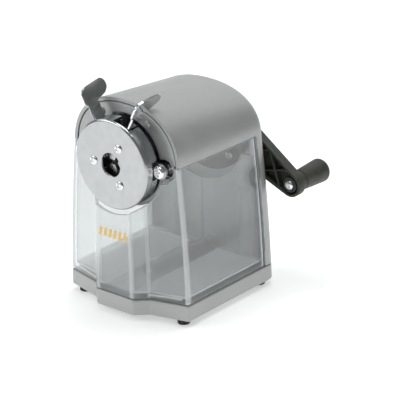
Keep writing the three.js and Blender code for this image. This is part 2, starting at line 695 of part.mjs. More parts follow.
// the arm's corners clear the ring's teeth
const armOuter = Math.sqrt((ringPitch - ADDENDUM - RUN) ** 2 - ARM_HALF_WIDTH ** 2);
const carrierRadius = cutterOffsetAt(HEAD_FRONT) + CUTTER_PIN_RADIUS + CARRIER_RIM;
const armRoot = carrierRadius - 2.4;
const cutterTilt = -POINT_HALF_ANGLE; // the cutter's axis comes nearer to the pencil to the back

// bar along the cutter's own tilted axis, from y0 to y1 measured along the pencil axis
function alongCutter(radius, y0, y1, sides = 20) {
  const length = (y1 - y0) / cos(POINT_HALF_ANGLE);
  const geometry = new THREE.CylinderGeometry(radius, radius, length, sides);
  geometry.rotateX(THREE.MathUtils.degToRad(cutterTilt));
  const middle = (y0 + y1) / 2;
  geometry.translate(0, middle, AXIS_HEIGHT + cutterOffsetAt(middle));
  return solid(geometry);
}

const cutterBack = cutterFront + CUTTER_LENGTH;
const headArm = box(
  -ARM_HALF_WIDTH,
  ARM_HALF_WIDTH,
  HEAD_FRONT + 1,
  hubFront + 1,
  AXIS_HEIGHT - armOuter,
  AXIS_HEIGHT - ARM_INNER,
);
const armFoot = box(
  -ARM_HALF_WIDTH,
  ARM_HALF_WIDTH,
  HEAD_FRONT + 1,
  headRingBack,
  AXIS_HEIGHT - armRoot,
  AXIS_HEIGHT - ARM_INNER,
);
add('cutter_head', cut(
  join(
    rod(0, AXIS_HEIGHT, carrierRadius, HEAD_FRONT, headRingBack, 32),
    rod(0, AXIS_HEIGHT, bearingRadius, BULKHEAD_FRONT, HEAD_FRONT + 1, 28),
    headArm,
    armFoot,
    rod(0, AXIS_HEIGHT, HUB_RADIUS, hubFront, hubFront + HUB_DEPTH, 24),
  ),
  rod(0, AXIS_HEIGHT, CARRIER_BORE, 0, headRingBack + 1, 24),
  alongCutter(CUTTER_PIN_RADIUS + 0.1, HEAD_FRONT - 2, hubFront + HUB_DEPTH + 4),
  rod(0, AXIS_HEIGHT, 0.9, hubFront - 1, hubFront + 1, 12),
), steel);
const shaftFront = hubFront + HUB_DEPTH;
const crankBack = crankFront + CRANK_DEPTH;
const NUT_DEPTH = 3;
const NUT_RADIUS = 5.6; // across the corners
add('main_shaft', join(
  rod(0, AXIS_HEIGHT, SHAFT_RADIUS, shaftFront + 0.1, crankBack + NUT_DEPTH + 1, 24),
), steel);
add('cutter_pin', alongCutter(CUTTER_PIN_RADIUS, HEAD_FRONT + 0.4, hubFront + 2.4), steel);

// helical cutter: a star section extruded in steps and twisted along its length
function cutterSolid() {
  const shape = new THREE.Shape();
  for (let i = 0; i < CUTTER_BLADES; i += 1) {
    const start = (2 * Math.PI * i) / CUTTER_BLADES;
    const points = [[CUTTER_RADIUS, 0], [CUTTER_RADIUS - 1.3, 0.12], [CUTTER_RADIUS - 1.1, 0.42]];
    points.forEach(([radius, turn], corner) => {
      const x = radius * Math.cos(start + turn);
      const z = radius * Math.sin(start + turn);
      if (i === 0 && corner === 0) shape.moveTo(x, z);
      else shape.lineTo(x, z);
    });
  }
  shape.closePath();
  const length = CUTTER_LENGTH / cos(POINT_HALF_ANGLE);
  const geometry = plate(shape, -length / 2, length / 2, 9);
  const place = geometry.attributes.position;
  const TWIST = 0.03; // radians for each mm
  for (let i = 0; i < place.count; i += 1) {
    const turn = place.getY(i) * TWIST;
    const x = place.getX(i);
    const z = place.getZ(i);
    place.setX(i, x * Math.cos(turn) - z * Math.sin(turn));
    place.setZ(i, x * Math.sin(turn) + z * Math.cos(turn));
  }
  geometry.rotateX(THREE.MathUtils.degToRad(cutterTilt));
  const middle = cutterFront + CUTTER_LENGTH / 2;
  geometry.translate(0, middle, AXIS_HEIGHT + cutterOffsetAt(middle));
  return solid(geometry);
}
const PINION_SLEEVE = 2.7;
const pinionShape = toothedShape(new THREE.Shape(), PINION_TEETH, pinionPitch, false, Math.PI / 2);
const pinion = solid(
  plate(pinionShape, -PINION_WIDTH / 2, PINION_WIDTH / 2)
    .rotateX(THREE.MathUtils.degToRad(cutterTilt))
    .translate(0, pinionY, AXIS_HEIGHT + ringPitch - pinionPitch),
);
const sleeve = alongCutter(PINION_SLEEVE, cutterBack - 1, pinionY, 16);
add('helical_cutter', cut(
  join(cutterSolid(), sleeve, pinion),
  alongCutter(CUTTER_PIN_RADIUS + RUN, cutterFront - 4, pinionY + 4, 16),
), darkSteel);

// ---------------------------------------------------------------- carriage: face cup and left ear
// an ear and its stem, flat in the plane of the pencil axis, drawn with x along Y and y as radius
function earShape(stemFrom) {
  const shape = new THREE.Shape();
  const edge = (cos(EAR_ANGLE) / archHalfWidth) ** ARCH_POWER + (sin(EAR_ANGLE) / archRise) ** ARCH_POWER;
  const low = edge ** (-1 / ARCH_POWER) + EAR_GAP - EAR_TILT * (HOOD_FRONT - EAR_FRONT);
  const high = low + EAR_WIDTH;
  const back = EAR_FRONT + EAR_LENGTH;
  const rise = (y) => EAR_TILT * (y - EAR_FRONT);
  const stemFront = EAR_FRONT + 1.4;
  const stemBack = stemFront + EAR_STEM;
  const r = EAR_ROUND;
  shape.moveTo(stemFront, stemFrom);
  shape.lineTo(stemBack, stemFrom);
  shape.lineTo(stemBack, low - 1 + rise(stemBack));
  shape.quadraticCurveTo(stemBack, low + rise(stemBack), stemBack + 1, low + rise(stemBack + 1));
  shape.lineTo(back - r, low + rise(back - r));
  shape.quadraticCurveTo(back, low + rise(back), back, low + r + rise(back));
  shape.lineTo(back, high - r + rise(back));
  shape.quadraticCurveTo(back, high + rise(back), back - r, high + rise(back - r));
  shape.lineTo(EAR_FRONT + r, high + rise(EAR_FRONT + r));
  shape.quadraticCurveTo(EAR_FRONT, high, EAR_FRONT, high - r);
  shape.lineTo(EAR_FRONT, low + 2);
  shape.quadraticCurveTo(EAR_FRONT, low, stemFront, low - 1);
  return shape;
}

// the ear at an angle up from the horizontal
function ear(angle, stemFrom) {
  const geometry = new THREE.ExtrudeGeometry(earShape(stemFrom), {
    depth: EAR_SHEET,
    bevelEnabled: false,
    curveSegments: 5,
  });
  // x -> Y, y -> radius along +X, z -> thickness
  geometry.applyMatrix4(new THREE.Matrix4().set(
    0, 1, 0, 0,
    1, 0, 0, 0,
    0, 0, -1, EAR_SHEET / 2,
    0, 0, 0, 1,
  ));
  geometry.translate(0, 0, AXIS_HEIGHT);
  return turnedAboutAxis(solid(geometry), angle);
}

const cupFloor = CUP_FRONT + CUP_FACE;
const cupProfile = [
  [PENCIL_HOLE_RADIUS, CUP_FRONT],
  [CUP_RADIUS - 1, CUP_FRONT],
  [CUP_RADIUS - 0.3, CUP_FRONT + 0.3],
  [CUP_RADIUS, CUP_FRONT + 1],
  [CUP_RADIUS, CUP_BACK],
  [cupInner, CUP_BACK],
  [cupInner, cupFloor],
  [PENCIL_HOLE_RADIUS, cupFloor],
  [PENCIL_HOLE_RADIUS, CUP_FRONT],
];
const rivetAngles = [['left', 180], ['upper', 60], ['lower', -60]];

const slotMargin = 2.6; // degrees of room beside the moving ear's stem
const notchHalf = Math.asin((EAR_PLATE_RADIUS + 0.6) / CUP_RADIUS) * THREE.MathUtils.RAD2DEG;
add('face_cup', cut(
  join(turned(0, AXIS_HEIGHT, cupProfile, 48), ear(180 - EAR_ANGLE, cupInner + 0.5)),
  sector(
    cupInner - 2,
    CUP_RADIUS + 1,
    EAR_ANGLE - slotMargin,
    EAR_ANGLE + PINCH + slotMargin,
    EAR_FRONT + 1.1,
    3,
  ),
  sector(cupInner - 2, CUP_RADIUS + 1, -notchHalf, notchHalf, -4.2, 3),
  sector(cupInner - 2, CUP_RADIUS + 1, 180 - notchHalf, 180 + notchHalf, -4.2, 3),
  ...rivetAngles.map(([, a]) => rod(...onCircle(rivetCircle, a), RIVET_SHANK_RADIUS + FIT, -12, -5, 10)),
), satin);

// backing plate that closes the cup and carries the rods
const plateBack = CUP_BACK;
const plateFront = plateBack - CARRIAGE_SHEET;
const jawAngles = [0, 120, 240];
const JAW_SLOT = JAW_WIDTH / 2 + RUN;
const jawBack = plateFront - RUN;
const jawFront = jawBack - JAW_DEPTH;
const ringBack = jawFront - RUN;
const ringFrontY = ringBack - RING_SHEET;
const plateDisc = rod(0, AXIS_HEIGHT, cupInner - FIT, plateFront, plateBack, 48);
const earBars = box(
  -rodSpacing,
  rodSpacing,
  plateFront,
  plateBack,
  AXIS_HEIGHT - EAR_PLATE_RADIUS,
  AXIS_HEIGHT + EAR_PLATE_RADIUS,
);
const earRounds = rodSides.map(([, side]) => (
  rod(side * rodSpacing, AXIS_HEIGHT, EAR_PLATE_RADIUS, plateFront, plateBack, 20)
));
// two ribs beside each jaw guide it
const GUIDE_HEIGHT = JAW_DEPTH - 0.2;
const guideRibs = jawAngles.flatMap((a) => [-1, 1].map((side) => turnedAboutAxis(
  box(
    7.4,
    12.4,
    jawBack - GUIDE_HEIGHT,
    plateFront + 0.2,
    AXIS_HEIGHT + side * (JAW_SLOT + 0.6) - 0.6,
    AXIS_HEIGHT + side * (JAW_SLOT + 0.6) + 0.6,
  ),
  a,
)));
add('carriage_plate', cut(
  join(plateDisc, earBars, ...earRounds, ...guideRibs),
  rod(0, AXIS_HEIGHT, PENCIL_HOLE_RADIUS, -20, 20, 24),
  sector(17.6, CUP_RADIUS + 1, EAR_ANGLE - slotMargin, EAR_ANGLE + PINCH + slotMargin, -3, 3),
  ...rivetAngles.map(([, a]) => rod(...onCircle(rivetCircle, a), RIVET_SHANK_RADIUS + FIT, -12, 5, 10)),
  ...rodSides.map(([, side]) => rod(side * rodSpacing, AXIS_HEIGHT, 1 + FIT, -12, 5, 10)),
), steel);

// spacer screws: a domed head in front, a shank through the cup to the backing plate
for (const [name, a] of rivetAngles) {
  const [x, z] = onCircle(rivetCircle, a);
  add(`face_screw_${name}`, cut(
    join(
      turned(x, z, [
        [0, CUP_FRONT - 0.9],
        [1.1, CUP_FRONT - 0.8],
        [1.8, CUP_FRONT - 0.5],
        [RIVET_HEAD_RADIUS, CUP_FRONT - 0.05],
        [0, CUP_FRONT - 0.05],
      ], 16),
      rod(x, z, RIVET_SHANK_RADIUS, CUP_FRONT - 0.2, plateBack - 0.1, 10),
    ),
    box(x - 1.3, x + 1.3, CUP_FRONT - 2, CUP_FRONT - 0.45, z - 0.25, z + 0.25),
    box(x - 0.25, x + 0.25, CUP_FRONT - 2, CUP_FRONT - 0.45, z - 1.3, z + 1.3),
  ), chrome);
}

// guide rods, the screws that hold them to the ears, and the clips at their ends
for (const [name, side] of rodSides) {
  const x = side * rodSpacing;
  add(`guide_rod_${name}`, cut(
    rod(x, AXIS_HEIGHT, ROD_RADIUS, plateBack + 0.1, rodEnd, 14),
    rod(x, AXIS_HEIGHT, 1.1, plateBack - 1, plateBack + 7, 10),
    turned(x, AXIS_HEIGHT, [
      [1, rodEnd - 1 - CLIP_SHEET - 0.1],
      [2.2, rodEnd - 1 - CLIP_SHEET - 0.1],
      [2.2, rodEnd - 1 + 0.1],
      [1, rodEnd - 1 + 0.1],
      [1, rodEnd - 1 - CLIP_SHEET - 0.1],
    ], 14),
  ), chrome);
  add(`rod_screw_${name}`, cut(
    join(
      turned(x, AXIS_HEIGHT, [
        [0, plateFront - 2.1],
        [1.6, plateFront - 2],
        [2.7, plateFront - 1.4],
        [ROD_HEAD_RADIUS, plateFront - 0.5],
        [ROD_HEAD_RADIUS, plateFront - 0.05],
        [0, plateFront - 0.05],
      ], 16),
      rod(x, AXIS_HEIGHT, 1, plateFront - 0.2, plateBack + 6, 10),
    ),
    box(x - 1.7, x + 1.7, plateFront - 3, plateFront - 1.5, AXIS_HEIGHT - 0.35, AXIS_HEIGHT + 0.35),
    box(x - 0.35, x + 0.35, plateFront - 3, plateFront - 1.5, AXIS_HEIGHT - 1.7, AXIS_HEIGHT + 1.7),
  ), chrome);
  add(`rod_clip_${name}`, cut(
    turned(x, AXIS_HEIGHT, [
      [1.1, rodEnd - 1 - CLIP_SHEET],
      [CLIP_RADIUS, rodEnd - 1 - CLIP_SHEET],
      [CLIP_RADIUS, rodEnd - 1],
      [1.1, rodEnd - 1],
      [1.1, rodEnd - 1 - CLIP_SHEET],
    ], 16),
    box(x - 0.9, x + 0.9, rodEnd - 4, rodEnd + 2, AXIS_HEIGHT - 5, AXIS_HEIGHT),
  ), darkSteel);
}

// return springs, drawn as a wire wound along each rod
const springFront = bulkheadBack + 0.6 + FIT;
const springBack = rodEnd - 1 - CLIP_SHEET - FIT;
const SPRING_TURNS = 7;
class Coil extends THREE.Curve {
  constructor(x) {
    super();
    this.x = x;
  }

  getPoint(t, target = new THREE.Vector3()) {
    const turn = 2 * Math.PI * SPRING_TURNS * t;
    const run = springBack - springFront - 2 * SPRING_WIRE;
    return target.set(
      this.x + springRadius * Math.cos(turn),
      springFront + SPRING_WIRE + run * t,
      AXIS_HEIGHT + springRadius * Math.sin(turn),
    );
  }
}
for (const [name, side] of rodSides) {
  const wire = new THREE.Shape();
  wire.absarc(0, 0, SPRING_WIRE / 2, 0, 2 * Math.PI, false);
  const geometry = new THREE.ExtrudeGeometry(wire, {
    steps: SPRING_TURNS * 9,
    curveSegments: 2,
    bevelEnabled: false,
    extrudePath: new Coil(side * rodSpacing),
  });
  add(`return_spring_${name}`, solid(geometry), steel);
}

// ---------------------------------------------------------------- chuck: cam ring, moving ear, jaws
// slots in the ring, leaning outwards, draw the jaws' pins out as the ring turns
function camSlot(angle) {
  const pieces = [];
  const count = 5;
  for (let i = 0; i <= count; i += 1) {
    const share = i / count;
    const turn = angle - PINCH * share;
    const radius = jawPinCircle + JAW_TRAVEL * share;
    pieces.push(rod(...onCircle(radius, turn), JAW_PIN_RADIUS + RUN, -12, 0, 10));
  }
  return pieces;
}
const camRing = join(
  sector(ringInner, ringOuter, 0, 180, ringFrontY, ringBack),
  sector(ringInner, ringOuter, 180, 360, ringFrontY, ringBack),
);
add('chuck_lever', cut(
  join(
    camRing,
    ear(EAR_ANGLE, cupInner + 0.1),
    sector(ringOuter - 0.5, cupInner + 1.6, EAR_ANGLE - 1.6, EAR_ANGLE + 1.6, ringFrontY, ringBack),
  ),
  ...jawAngles.flatMap(camSlot),
), chrome);

for (const [i, a] of jawAngles.entries()) {
  const jawShape = new THREE.Shape();
  jawShape.moveTo(JAW_GAP, 0);
  jawShape.lineTo(JAW_GAP + 1.6, -JAW_WIDTH / 2 + 0.6);
  jawShape.lineTo(JAW_GAP + 3, -JAW_WIDTH / 2);
  jawShape.lineTo(jawPinCircle + 1.2, -JAW_WIDTH / 2);
  jawShape.lineTo(jawPinCircle + 1.2, JAW_WIDTH / 2);
  jawShape.lineTo(JAW_GAP + 3, JAW_WIDTH / 2);
  jawShape.lineTo(JAW_GAP + 1.6, JAW_WIDTH / 2 - 0.6);
  const blank = solid(plate(jawShape, jawFront, jawBack).translate(0, 0, AXIS_HEIGHT));
  const pin = rod(jawPinCircle, AXIS_HEIGHT, JAW_PIN_RADIUS, ringFrontY + 0.1, jawFront + 1, 10);
  add(`jaw_${i + 1}`, turnedAboutAxis(join(blank, pin), a), steel);
}

// ---------------------------------------------------------------- crank and handle
// arm outline between two round ends, drawn in by inset, along +X from the pencil axis
function armShape(inset, hole) {
  const shape = new THREE.Shape();
  const hub = CRANK_HUB_RADIUS - inset;
  const end = CRANK_END_RADIUS - inset;
  const lean = Math.acos((hub - end) / CRANK_RADIUS);
  shape.absarc(0, 0, hub, lean, 2 * Math.PI - lean, false);
  shape.absarc(CRANK_RADIUS, 0, end, -lean, lean, false);
  shape.closePath();
  if (hole) {
    for (const [x, radius] of hole) {
      const path = new THREE.Path();
      path.absarc(x, 0, radius, 0, 2 * Math.PI, true);
      shape.holes.push(path);
    }
  }
  return shape;
}
const HUB_BOSS = SHAFT_RADIUS + 2.6;
const PIN_BOSS = HANDLE_PIN_RADIUS + 2.2;
const CRANK_WEB = 1.8;
const armBlank = solid(plate(armShape(0), crankFront, crankBack, 1, 9).translate(0, 0, AXIS_HEIGHT));
const dishBack = crankBack - CRANK_WEB;
const armDish = cut(
  solid(plate(armShape(CRANK_WALL), crankFront - 1, dishBack, 1, 9).translate(0, 0, AXIS_HEIGHT)),
  rod(0, AXIS_HEIGHT, HUB_BOSS, crankFront - 2, crankBack, 20),
  rod(CRANK_RADIUS, AXIS_HEIGHT, PIN_BOSS, crankFront - 2, crankBack, 16),
);
// crossed ribs inside the arm's dish
const RIB = 1.1;
const RIB_BAYS = 3;
const bay = (CRANK_RADIUS - HUB_BOSS - PIN_BOSS) / RIB_BAYS;
const ribs = [];
for (let i = 0; i < RIB_BAYS; i += 1) {
  for (const way of [-1, 1]) {
    const middle = HUB_BOSS + bay * (i + 0.5);
    const reach = CRANK_HUB_RADIUS * 2;
    const geometry = new THREE.BoxGeometry(reach, CRANK_DEPTH - 1.6, RIB);
    geometry.rotateY(way * Math.atan2(14 - 2.4 * i, bay));
    geometry.translate(middle, (crankFront + 1 + crankBack - 0.6) / 2, AXIS_HEIGHT);
    ribs.push(solid(geometry).intersect(
      solid(plate(armShape(0.2), crankFront + 0.8, crankBack - 0.2, 1, 9).translate(0, 0, AXIS_HEIGHT)),
    ));
  }
}
const PIN_HEAD = 2.3;
add('crank_arm', turnedAboutAxis(cut(
  join(cut(armBlank, armDish), ...ribs),
  rod(0, AXIS_HEIGHT, SHAFT_RADIUS + 0.1, crankFront - 3, crankBack + 3, 24),
  rod(CRANK_RADIUS, AXIS_HEIGHT, HANDLE_PIN_RADIUS + 0.1, crankFront - 3, crankBack + 3, 14),
), CRANK_ANGLE), darkPlastic);
add('crank_nut', cut(
  rod(0, AXIS_HEIGHT, NUT_RADIUS, crankBack + 0.1, crankBack + NUT_DEPTH, 6),
  rod(0, AXIS_HEIGHT, SHAFT_RADIUS + 0.1, crankBack - 1, crankBack + NUT_DEPTH + 1, 24),
), steel);

const handleFront = crankBack + FIT;
const handleBack = handleFront + HANDLE_LENGTH;
const pinX = CRANK_RADIUS * cos(CRANK_ANGLE);
const pinZ = AXIS_HEIGHT + CRANK_RADIUS * sin(CRANK_ANGLE);
const PIN_REACH = HANDLE_LENGTH - 4;
add('handle_pin', join(
  turned(pinX, pinZ, [
    [0, crankFront - 1.1],
    [1.4, crankFront - 0.9],
    [PIN_HEAD, crankFront - 0.1],
    [0, crankFront - 0.1],
  ], 14),
  rod(pinX, pinZ, HANDLE_PIN_RADIUS, crankFront - 0.3, handleFront + PIN_REACH, 14),
), steel);
const HANDLE_EDGE = 1.2;
add('crank_handle', cut(
  turned(pinX, pinZ, [
    [0, handleFront],
    [HANDLE_RADIUS_NEAR - 0.4, handleFront],
    [HANDLE_RADIUS_NEAR, handleFront + 0.5],
    [HANDLE_RADIUS_NEAR + 0.1, handleFront + 2.6],
    [HANDLE_RADIUS_FAR, handleBack - HANDLE_EDGE],
    [HANDLE_RADIUS_FAR - 0.35, handleBack - 0.35],
    [HANDLE_RADIUS_FAR - HANDLE_EDGE, handleBack],
    [0, handleBack],
  ], 22),
  rod(pinX, pinZ, HANDLE_PIN_RADIUS + RUN, handleFront - 1, handleFront + PIN_REACH + FIT, 14),
), darkPlastic);

// ---------------------------------------------------------------- clear drawer
const drawerBottom = BASE_HEIGHT + DRAWER_GAP;
const drawerRear = columnFront - FIT;
const drawerTop = AXIS_HEIGHT + EAVE_RISE - FIT;
const OUTSET = 0.15; // the drawer's skin lies this far inside the base's edge
const drawerPlan = closedSquare(footprint(OUTSET, drawerRear));
const drawerOuter = solid(shaped(slab(drawerPlan, drawerBottom, drawerTop, 5)));
const drawerInner = solid(shaped(slab(
  closedSquare(footprint(OUTSET + DRAWER_WALL, drawerRear - DRAWER_WALL)),
  drawerBottom + DRAWER_FLOOR,
  drawerTop + 10,
  6,
)));
// its top edge follows the hood's eave
const topCut = new THREE.Shape();
topCut.moveTo(-30, eaveAt(-30) - FIT);
topCut.lineTo(BODY_REAR + 9, eaveAt(BODY_REAR + 9) - FIT);
topCut.lineTo(BODY_REAR + 9, AXIS_HEIGHT + 30);
topCut.lineTo(-30, AXIS_HEIGHT + 30);
const aboveDrawer = solid(
  new THREE.ExtrudeGeometry(topCut, { depth: 100, bevelEnabled: false })
    .applyMatrix4(new THREE.Matrix4().set(0, 0, 1, -50, 1, 0, 0, 0, 0, 1, 0, 0, 0, 0, 0, 1)),
);
const tunnelInner = socketOuter + 0.6;
const tunnelOuter = tunnelInner + 1.4;
const tunnelSkin = socketBar(tunnelOuter, drawerRear - DRAWER_WALL / 2).intersect(drawerOuter);
const tunnelSpace = socketBar(tunnelInner, BODY_REAR);
// the front opening goes round the bezel's disc and the rods' pockets
const COLLAR_GAP = 0.9;
const frontOpening = join(
  rod(0, AXIS_HEIGHT, bezelDiscRadius + COLLAR_GAP, -20, 20, 44),
  ...rodSides.map(([, side]) => rod(side * rodSpacing, AXIS_HEIGHT, pocketBoss + COLLAR_GAP, -20, 20, 24)),
);
const aboveBackWall = box(
  -BASE_HALF_WIDTH,
  BASE_HALF_WIDTH,
  drawerRear - DRAWER_WALL - 0.2,
  drawerRear + 5,
  AXIS_HEIGHT - BACK_WALL_DROP,
  AXIS_HEIGHT + 25,
);
add('drawer', cut(
  join(cut(drawerOuter, drawerInner), tunnelSkin),
  aboveDrawer,
  tunnelSpace,
  frontOpening,
  rod(0, AXIS_HEIGHT, rodSpacing + CLIP_RADIUS + BACK_CUTOUT_GAP, drawerRear - 6, drawerRear + 5, 40),
  aboveBackWall.intersect(drawerInner.translate([0, 5, 0])),
), clear);

// ---------------------------------------------------------------- stand the whole on its feet, centred
const bounds = new THREE.Box3().setFromObject(root);
const middle = bounds.getCenter(new THREE.Vector3());
root.position.set(-middle.x, -middle.y, -bounds.min.z);
root.updateMatrixWorld(true);

export default root;
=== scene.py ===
from math import acos, asin, atan2, ceil, cos, pi, radians, sin, sqrt, tan

import bmesh
import bpy
import numpy as np
from bpy.props import FloatProperty, FloatVectorProperty, IntProperty, PointerProperty
from mathutils import Matrix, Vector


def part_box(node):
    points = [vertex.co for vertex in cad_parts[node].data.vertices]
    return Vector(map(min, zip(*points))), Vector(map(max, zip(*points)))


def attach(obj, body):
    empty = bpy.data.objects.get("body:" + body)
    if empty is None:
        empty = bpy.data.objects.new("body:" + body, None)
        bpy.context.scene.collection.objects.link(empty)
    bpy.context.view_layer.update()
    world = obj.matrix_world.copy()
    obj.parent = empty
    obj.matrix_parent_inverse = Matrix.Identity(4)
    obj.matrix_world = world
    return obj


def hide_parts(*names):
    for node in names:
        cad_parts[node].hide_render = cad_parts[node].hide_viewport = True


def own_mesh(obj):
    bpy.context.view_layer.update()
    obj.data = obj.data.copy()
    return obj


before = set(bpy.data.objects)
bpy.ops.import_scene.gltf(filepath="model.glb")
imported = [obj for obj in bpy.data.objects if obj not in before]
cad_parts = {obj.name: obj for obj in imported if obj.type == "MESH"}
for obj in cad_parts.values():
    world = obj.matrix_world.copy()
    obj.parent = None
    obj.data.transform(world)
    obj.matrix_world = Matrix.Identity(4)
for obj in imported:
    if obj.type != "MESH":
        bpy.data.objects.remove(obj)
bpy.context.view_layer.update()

bl_info = {
    "name": "Desktop Pencil Sharpener",
    "version": (1, 0, 0),
    "blender": (4, 5, 0),
    "location": "3D View > Sidebar > Sharpener",
    "description": "Builds the shown pieces, the materials and the studio of a desktop pencil sharpener",
    "category": "Object",
}

# ------------------------------------------------------------------ sizes, in the part's own millimetres
MM = 0.001
REAR = 66.0  # rear face of the body
AXIS = 75.0  # height of the pencil axis
_shaft, _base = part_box("main_shaft"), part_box("base")
SHIFT = np.array([
    (_shaft[0].x + _shaft[1].x) / 2 / MM,
    _base[1].y / MM - REAR,
    (_shaft[0].z + _shaft[1].z) / 2 / MM - AXIS,
])
HALF = 38.0  # half width of the base
BASE_TOP = 8.0
BASE_CORNERS = [(-HALF, 0), (-17.6, -5.1), (-11.6, -10.5), (11.6, -10.5), (17.6, -5.1), (HALF, 0),
                (HALF, REAR), (-HALF, REAR)]
ARCH_HALF = 33.4
ARCH_RISE = 30.0
ARCH_POWER = 2.25
CREST_DROP = 7.4
LEAN = 0.018  # how far the front leans back for each millimetre up
HOOD_FOOT = 8.35
DRAWER_BACK = 57.65
DRAWER_FOOT = 8.7
DRAWER_FLOOR = 10.7
SOCKET = 3.8  # bore of the clamp socket, along Y in a half-round boss
SOCKET_AXIS = 8.2
BOSS = 5.2
BOSS_NOSE = 20.0
FOOT_PLACES = {"front_left": (-31.9, 3.2), "front_right": (31.9, 3.2),
               "rear_left": (-31.9, 59.9), "rear_right": (31.9, 59.9)}
SCREW_PLACES = {"left": (-22, 62), "right": (22, 62)}
SIDES = (("left", -1), ("right", 1))
CUP = 22.5
ROD = 24.6  # guide rods' distance from the pencil axis
TILT = radians(10.8)  # the cutter's lean to the pencil
CUTTER_MIDDLE = 29.5
PINION_TEETH = 14
CRANK = 52.0
CRANK_TURN = radians(-29.0)
PIN = (CRANK * cos(CRANK_TURN), AXIS + CRANK * sin(CRANK_TURN))


def side_at(z):
    """Half width of the body at a height."""
    return HALF - (HALF - ARCH_HALF) * np.clip(z / AXIS, 0, None) ** 1.7


def eave_at(y):
    return AXIS + 2.2 - 1.6 * (y / REAR)


def crest_at(y):
    return ARCH_RISE - CREST_DROP * (y / REAR)


def lean_at(y, z):
    """How far back the body's leaning front carries a point."""
    return LEAN * z * (1 - np.clip(y / REAR, 0, 1))


def smooth(a, b, x):
    """0 below a, 1 above b, with level ends between."""
    t = np.clip((x - a) / (b - a), 0, 1)
    return t * t * (3 - 2 * t)


# ------------------------------------------------------------------ settings
class SharpenerSettings(bpy.types.PropertyGroup):
    """Sizes and colours to change."""
    edge: FloatProperty(
        name="Edge Radius", description="Radius of the moulded edges",
        default=0.0006, unit="LENGTH", subtype="DISTANCE")
    drawer_wall: FloatProperty(
        name="Drawer Wall", description="Thickness of the clear drawer's walls",
        default=0.0018, unit="LENGTH", subtype="DISTANCE")
    ear_sheet: FloatProperty(
        name="Ear Sheet", description="Thickness of the pinch ears",
        default=0.0012, unit="LENGTH", subtype="DISTANCE")
    ear_dish: FloatProperty(
        name="Ear Dish", description="Depth of the hollow that takes the finger",
        default=0.0005, unit="LENGTH", subtype="DISTANCE")
    spring_wire: FloatProperty(
        name="Spring Wire", description="Diameter of the return springs' wire",
        default=0.0005, unit="LENGTH", subtype="DISTANCE")
    spring_turns: IntProperty(name="Spring Turns", description="Turns of each return spring", default=17)
    blades: IntProperty(name="Cutter Blades", description="Blades of the helical cutter", default=16)
    helix: FloatProperty(
        name="Cutter Helix", description="Turn of the blades over the cutter's length",
        default=0.9, subtype="ANGLE")
    paint: FloatVectorProperty(
        name="Paint", description="Metallic paint of the body",
        default=(0.45, 0.468, 0.459), subtype="COLOR", size=3)
    metal: FloatVectorProperty(
        name="Bright Metal", description="Chromed parts",
        default=(0.51, 0.523, 0.527), subtype="COLOR", size=3)
    plastic: FloatVectorProperty(
        name="Dark Plastic", description="Crank and handle",
        default=(0.046, 0.049, 0.040), subtype="COLOR", size=3)
    foil: FloatVectorProperty(
        name="Foil", description="Stamped mark on the drawer",
        default=(0.72, 0.50, 0.14), subtype="COLOR", size=3)


def settings():
    return bpy.context.scene.sharpener


# ------------------------------------------------------------------ surfaces
def xyz(x, y, z):
    """Points from three coordinates, each spread over the shape of the others."""
    return np.stack(np.broadcast_arrays(x, y, z), -1)


def around(steps):
    """Angles of a full turn, as a column."""
    return np.linspace(0, 2 * pi, steps, endpoint=False)[:, None]


def polar(radius, degrees):
    """Place in the face's plane at a radius and an angle about the pencil axis."""
    return radius * cos(radians(degrees)), AXIS + radius * sin(radians(degrees))


def grid(points, wrap_u=False, wrap_v=False, keep=None, flip=False):
    """Vertices and quads of a surface given as an array of points over two parameters."""
    nu, nv = points.shape[:2]
    index = np.arange(nu * nv).reshape(nu, nv)
    if wrap_u:
        index = np.concatenate([index, index[:1]], 0)
    if wrap_v:
        index = np.concatenate([index, index[:, :1]], 1)
    quads = np.stack([index[:-1, :-1], index[1:, :-1], index[1:, 1:], index[:-1, 1:]], -1)
    quads = quads[keep] if keep is not None else quads.reshape(-1, 4)
    if flip:
        quads = quads[:, ::-1]
    used, quads = np.unique(quads, return_inverse=True)
    return points.reshape(-1, 3)[used], quads.reshape(-1, 4)


def make(name, sheets, body, node, finish, outward=True, sharp=32, extra=()):
    """One piece from one or more surfaces in millimetres; rides a body and stands for a CAD node."""
    starts = np.cumsum([0] + [len(points) for points, _ in sheets])
    verts = (np.concatenate([points for points, _ in sheets]) + SHIFT) * MM
    faces = np.concatenate([quads + start for (_, quads), start in zip(sheets, starts)])
    mesh = bpy.data.meshes.new(name)
    mesh.from_pydata(verts.tolist(), [], faces.tolist())
    work = bmesh.new()
    work.from_mesh(mesh)
    bmesh.ops.remove_doubles(work, verts=work.verts, dist=2e-6)
    if outward:
        bmesh.ops.recalc_face_normals(work, faces=work.faces)
    work.to_mesh(mesh)
    work.free()
    mesh.shade_smooth()
    mesh.set_sharp_from_angle(angle=radians(sharp))
    mesh.materials.append(materials()[finish])
    obj = linked(name, mesh)
    for modifier in extra:
        modifier(obj)
    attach(obj, body)
    if node:
        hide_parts(node)
    return obj


def linked(name, data):
    obj = bpy.data.objects.new(name, data)
    bpy.context.scene.collection.objects.link(obj)
    return obj


def solidify(thickness):
    def apply(obj):
        m = obj.modifiers.new("Thickness", "SOLIDIFY")
        m.thickness = thickness * MM
        m.offset = -1.0
        m.use_even_offset = True
    return apply


def bevel(width, segments=2, angle=40):
    def apply(obj):
        m = obj.modifiers.new("Edges", "BEVEL")
        m.width = width * MM
        m.segments = segments
        m.limit_method = "ANGLE"
        m.angle_limit = radians(angle)
        m.use_clamp_overlap = False
        m.harden_normals = True
    return apply


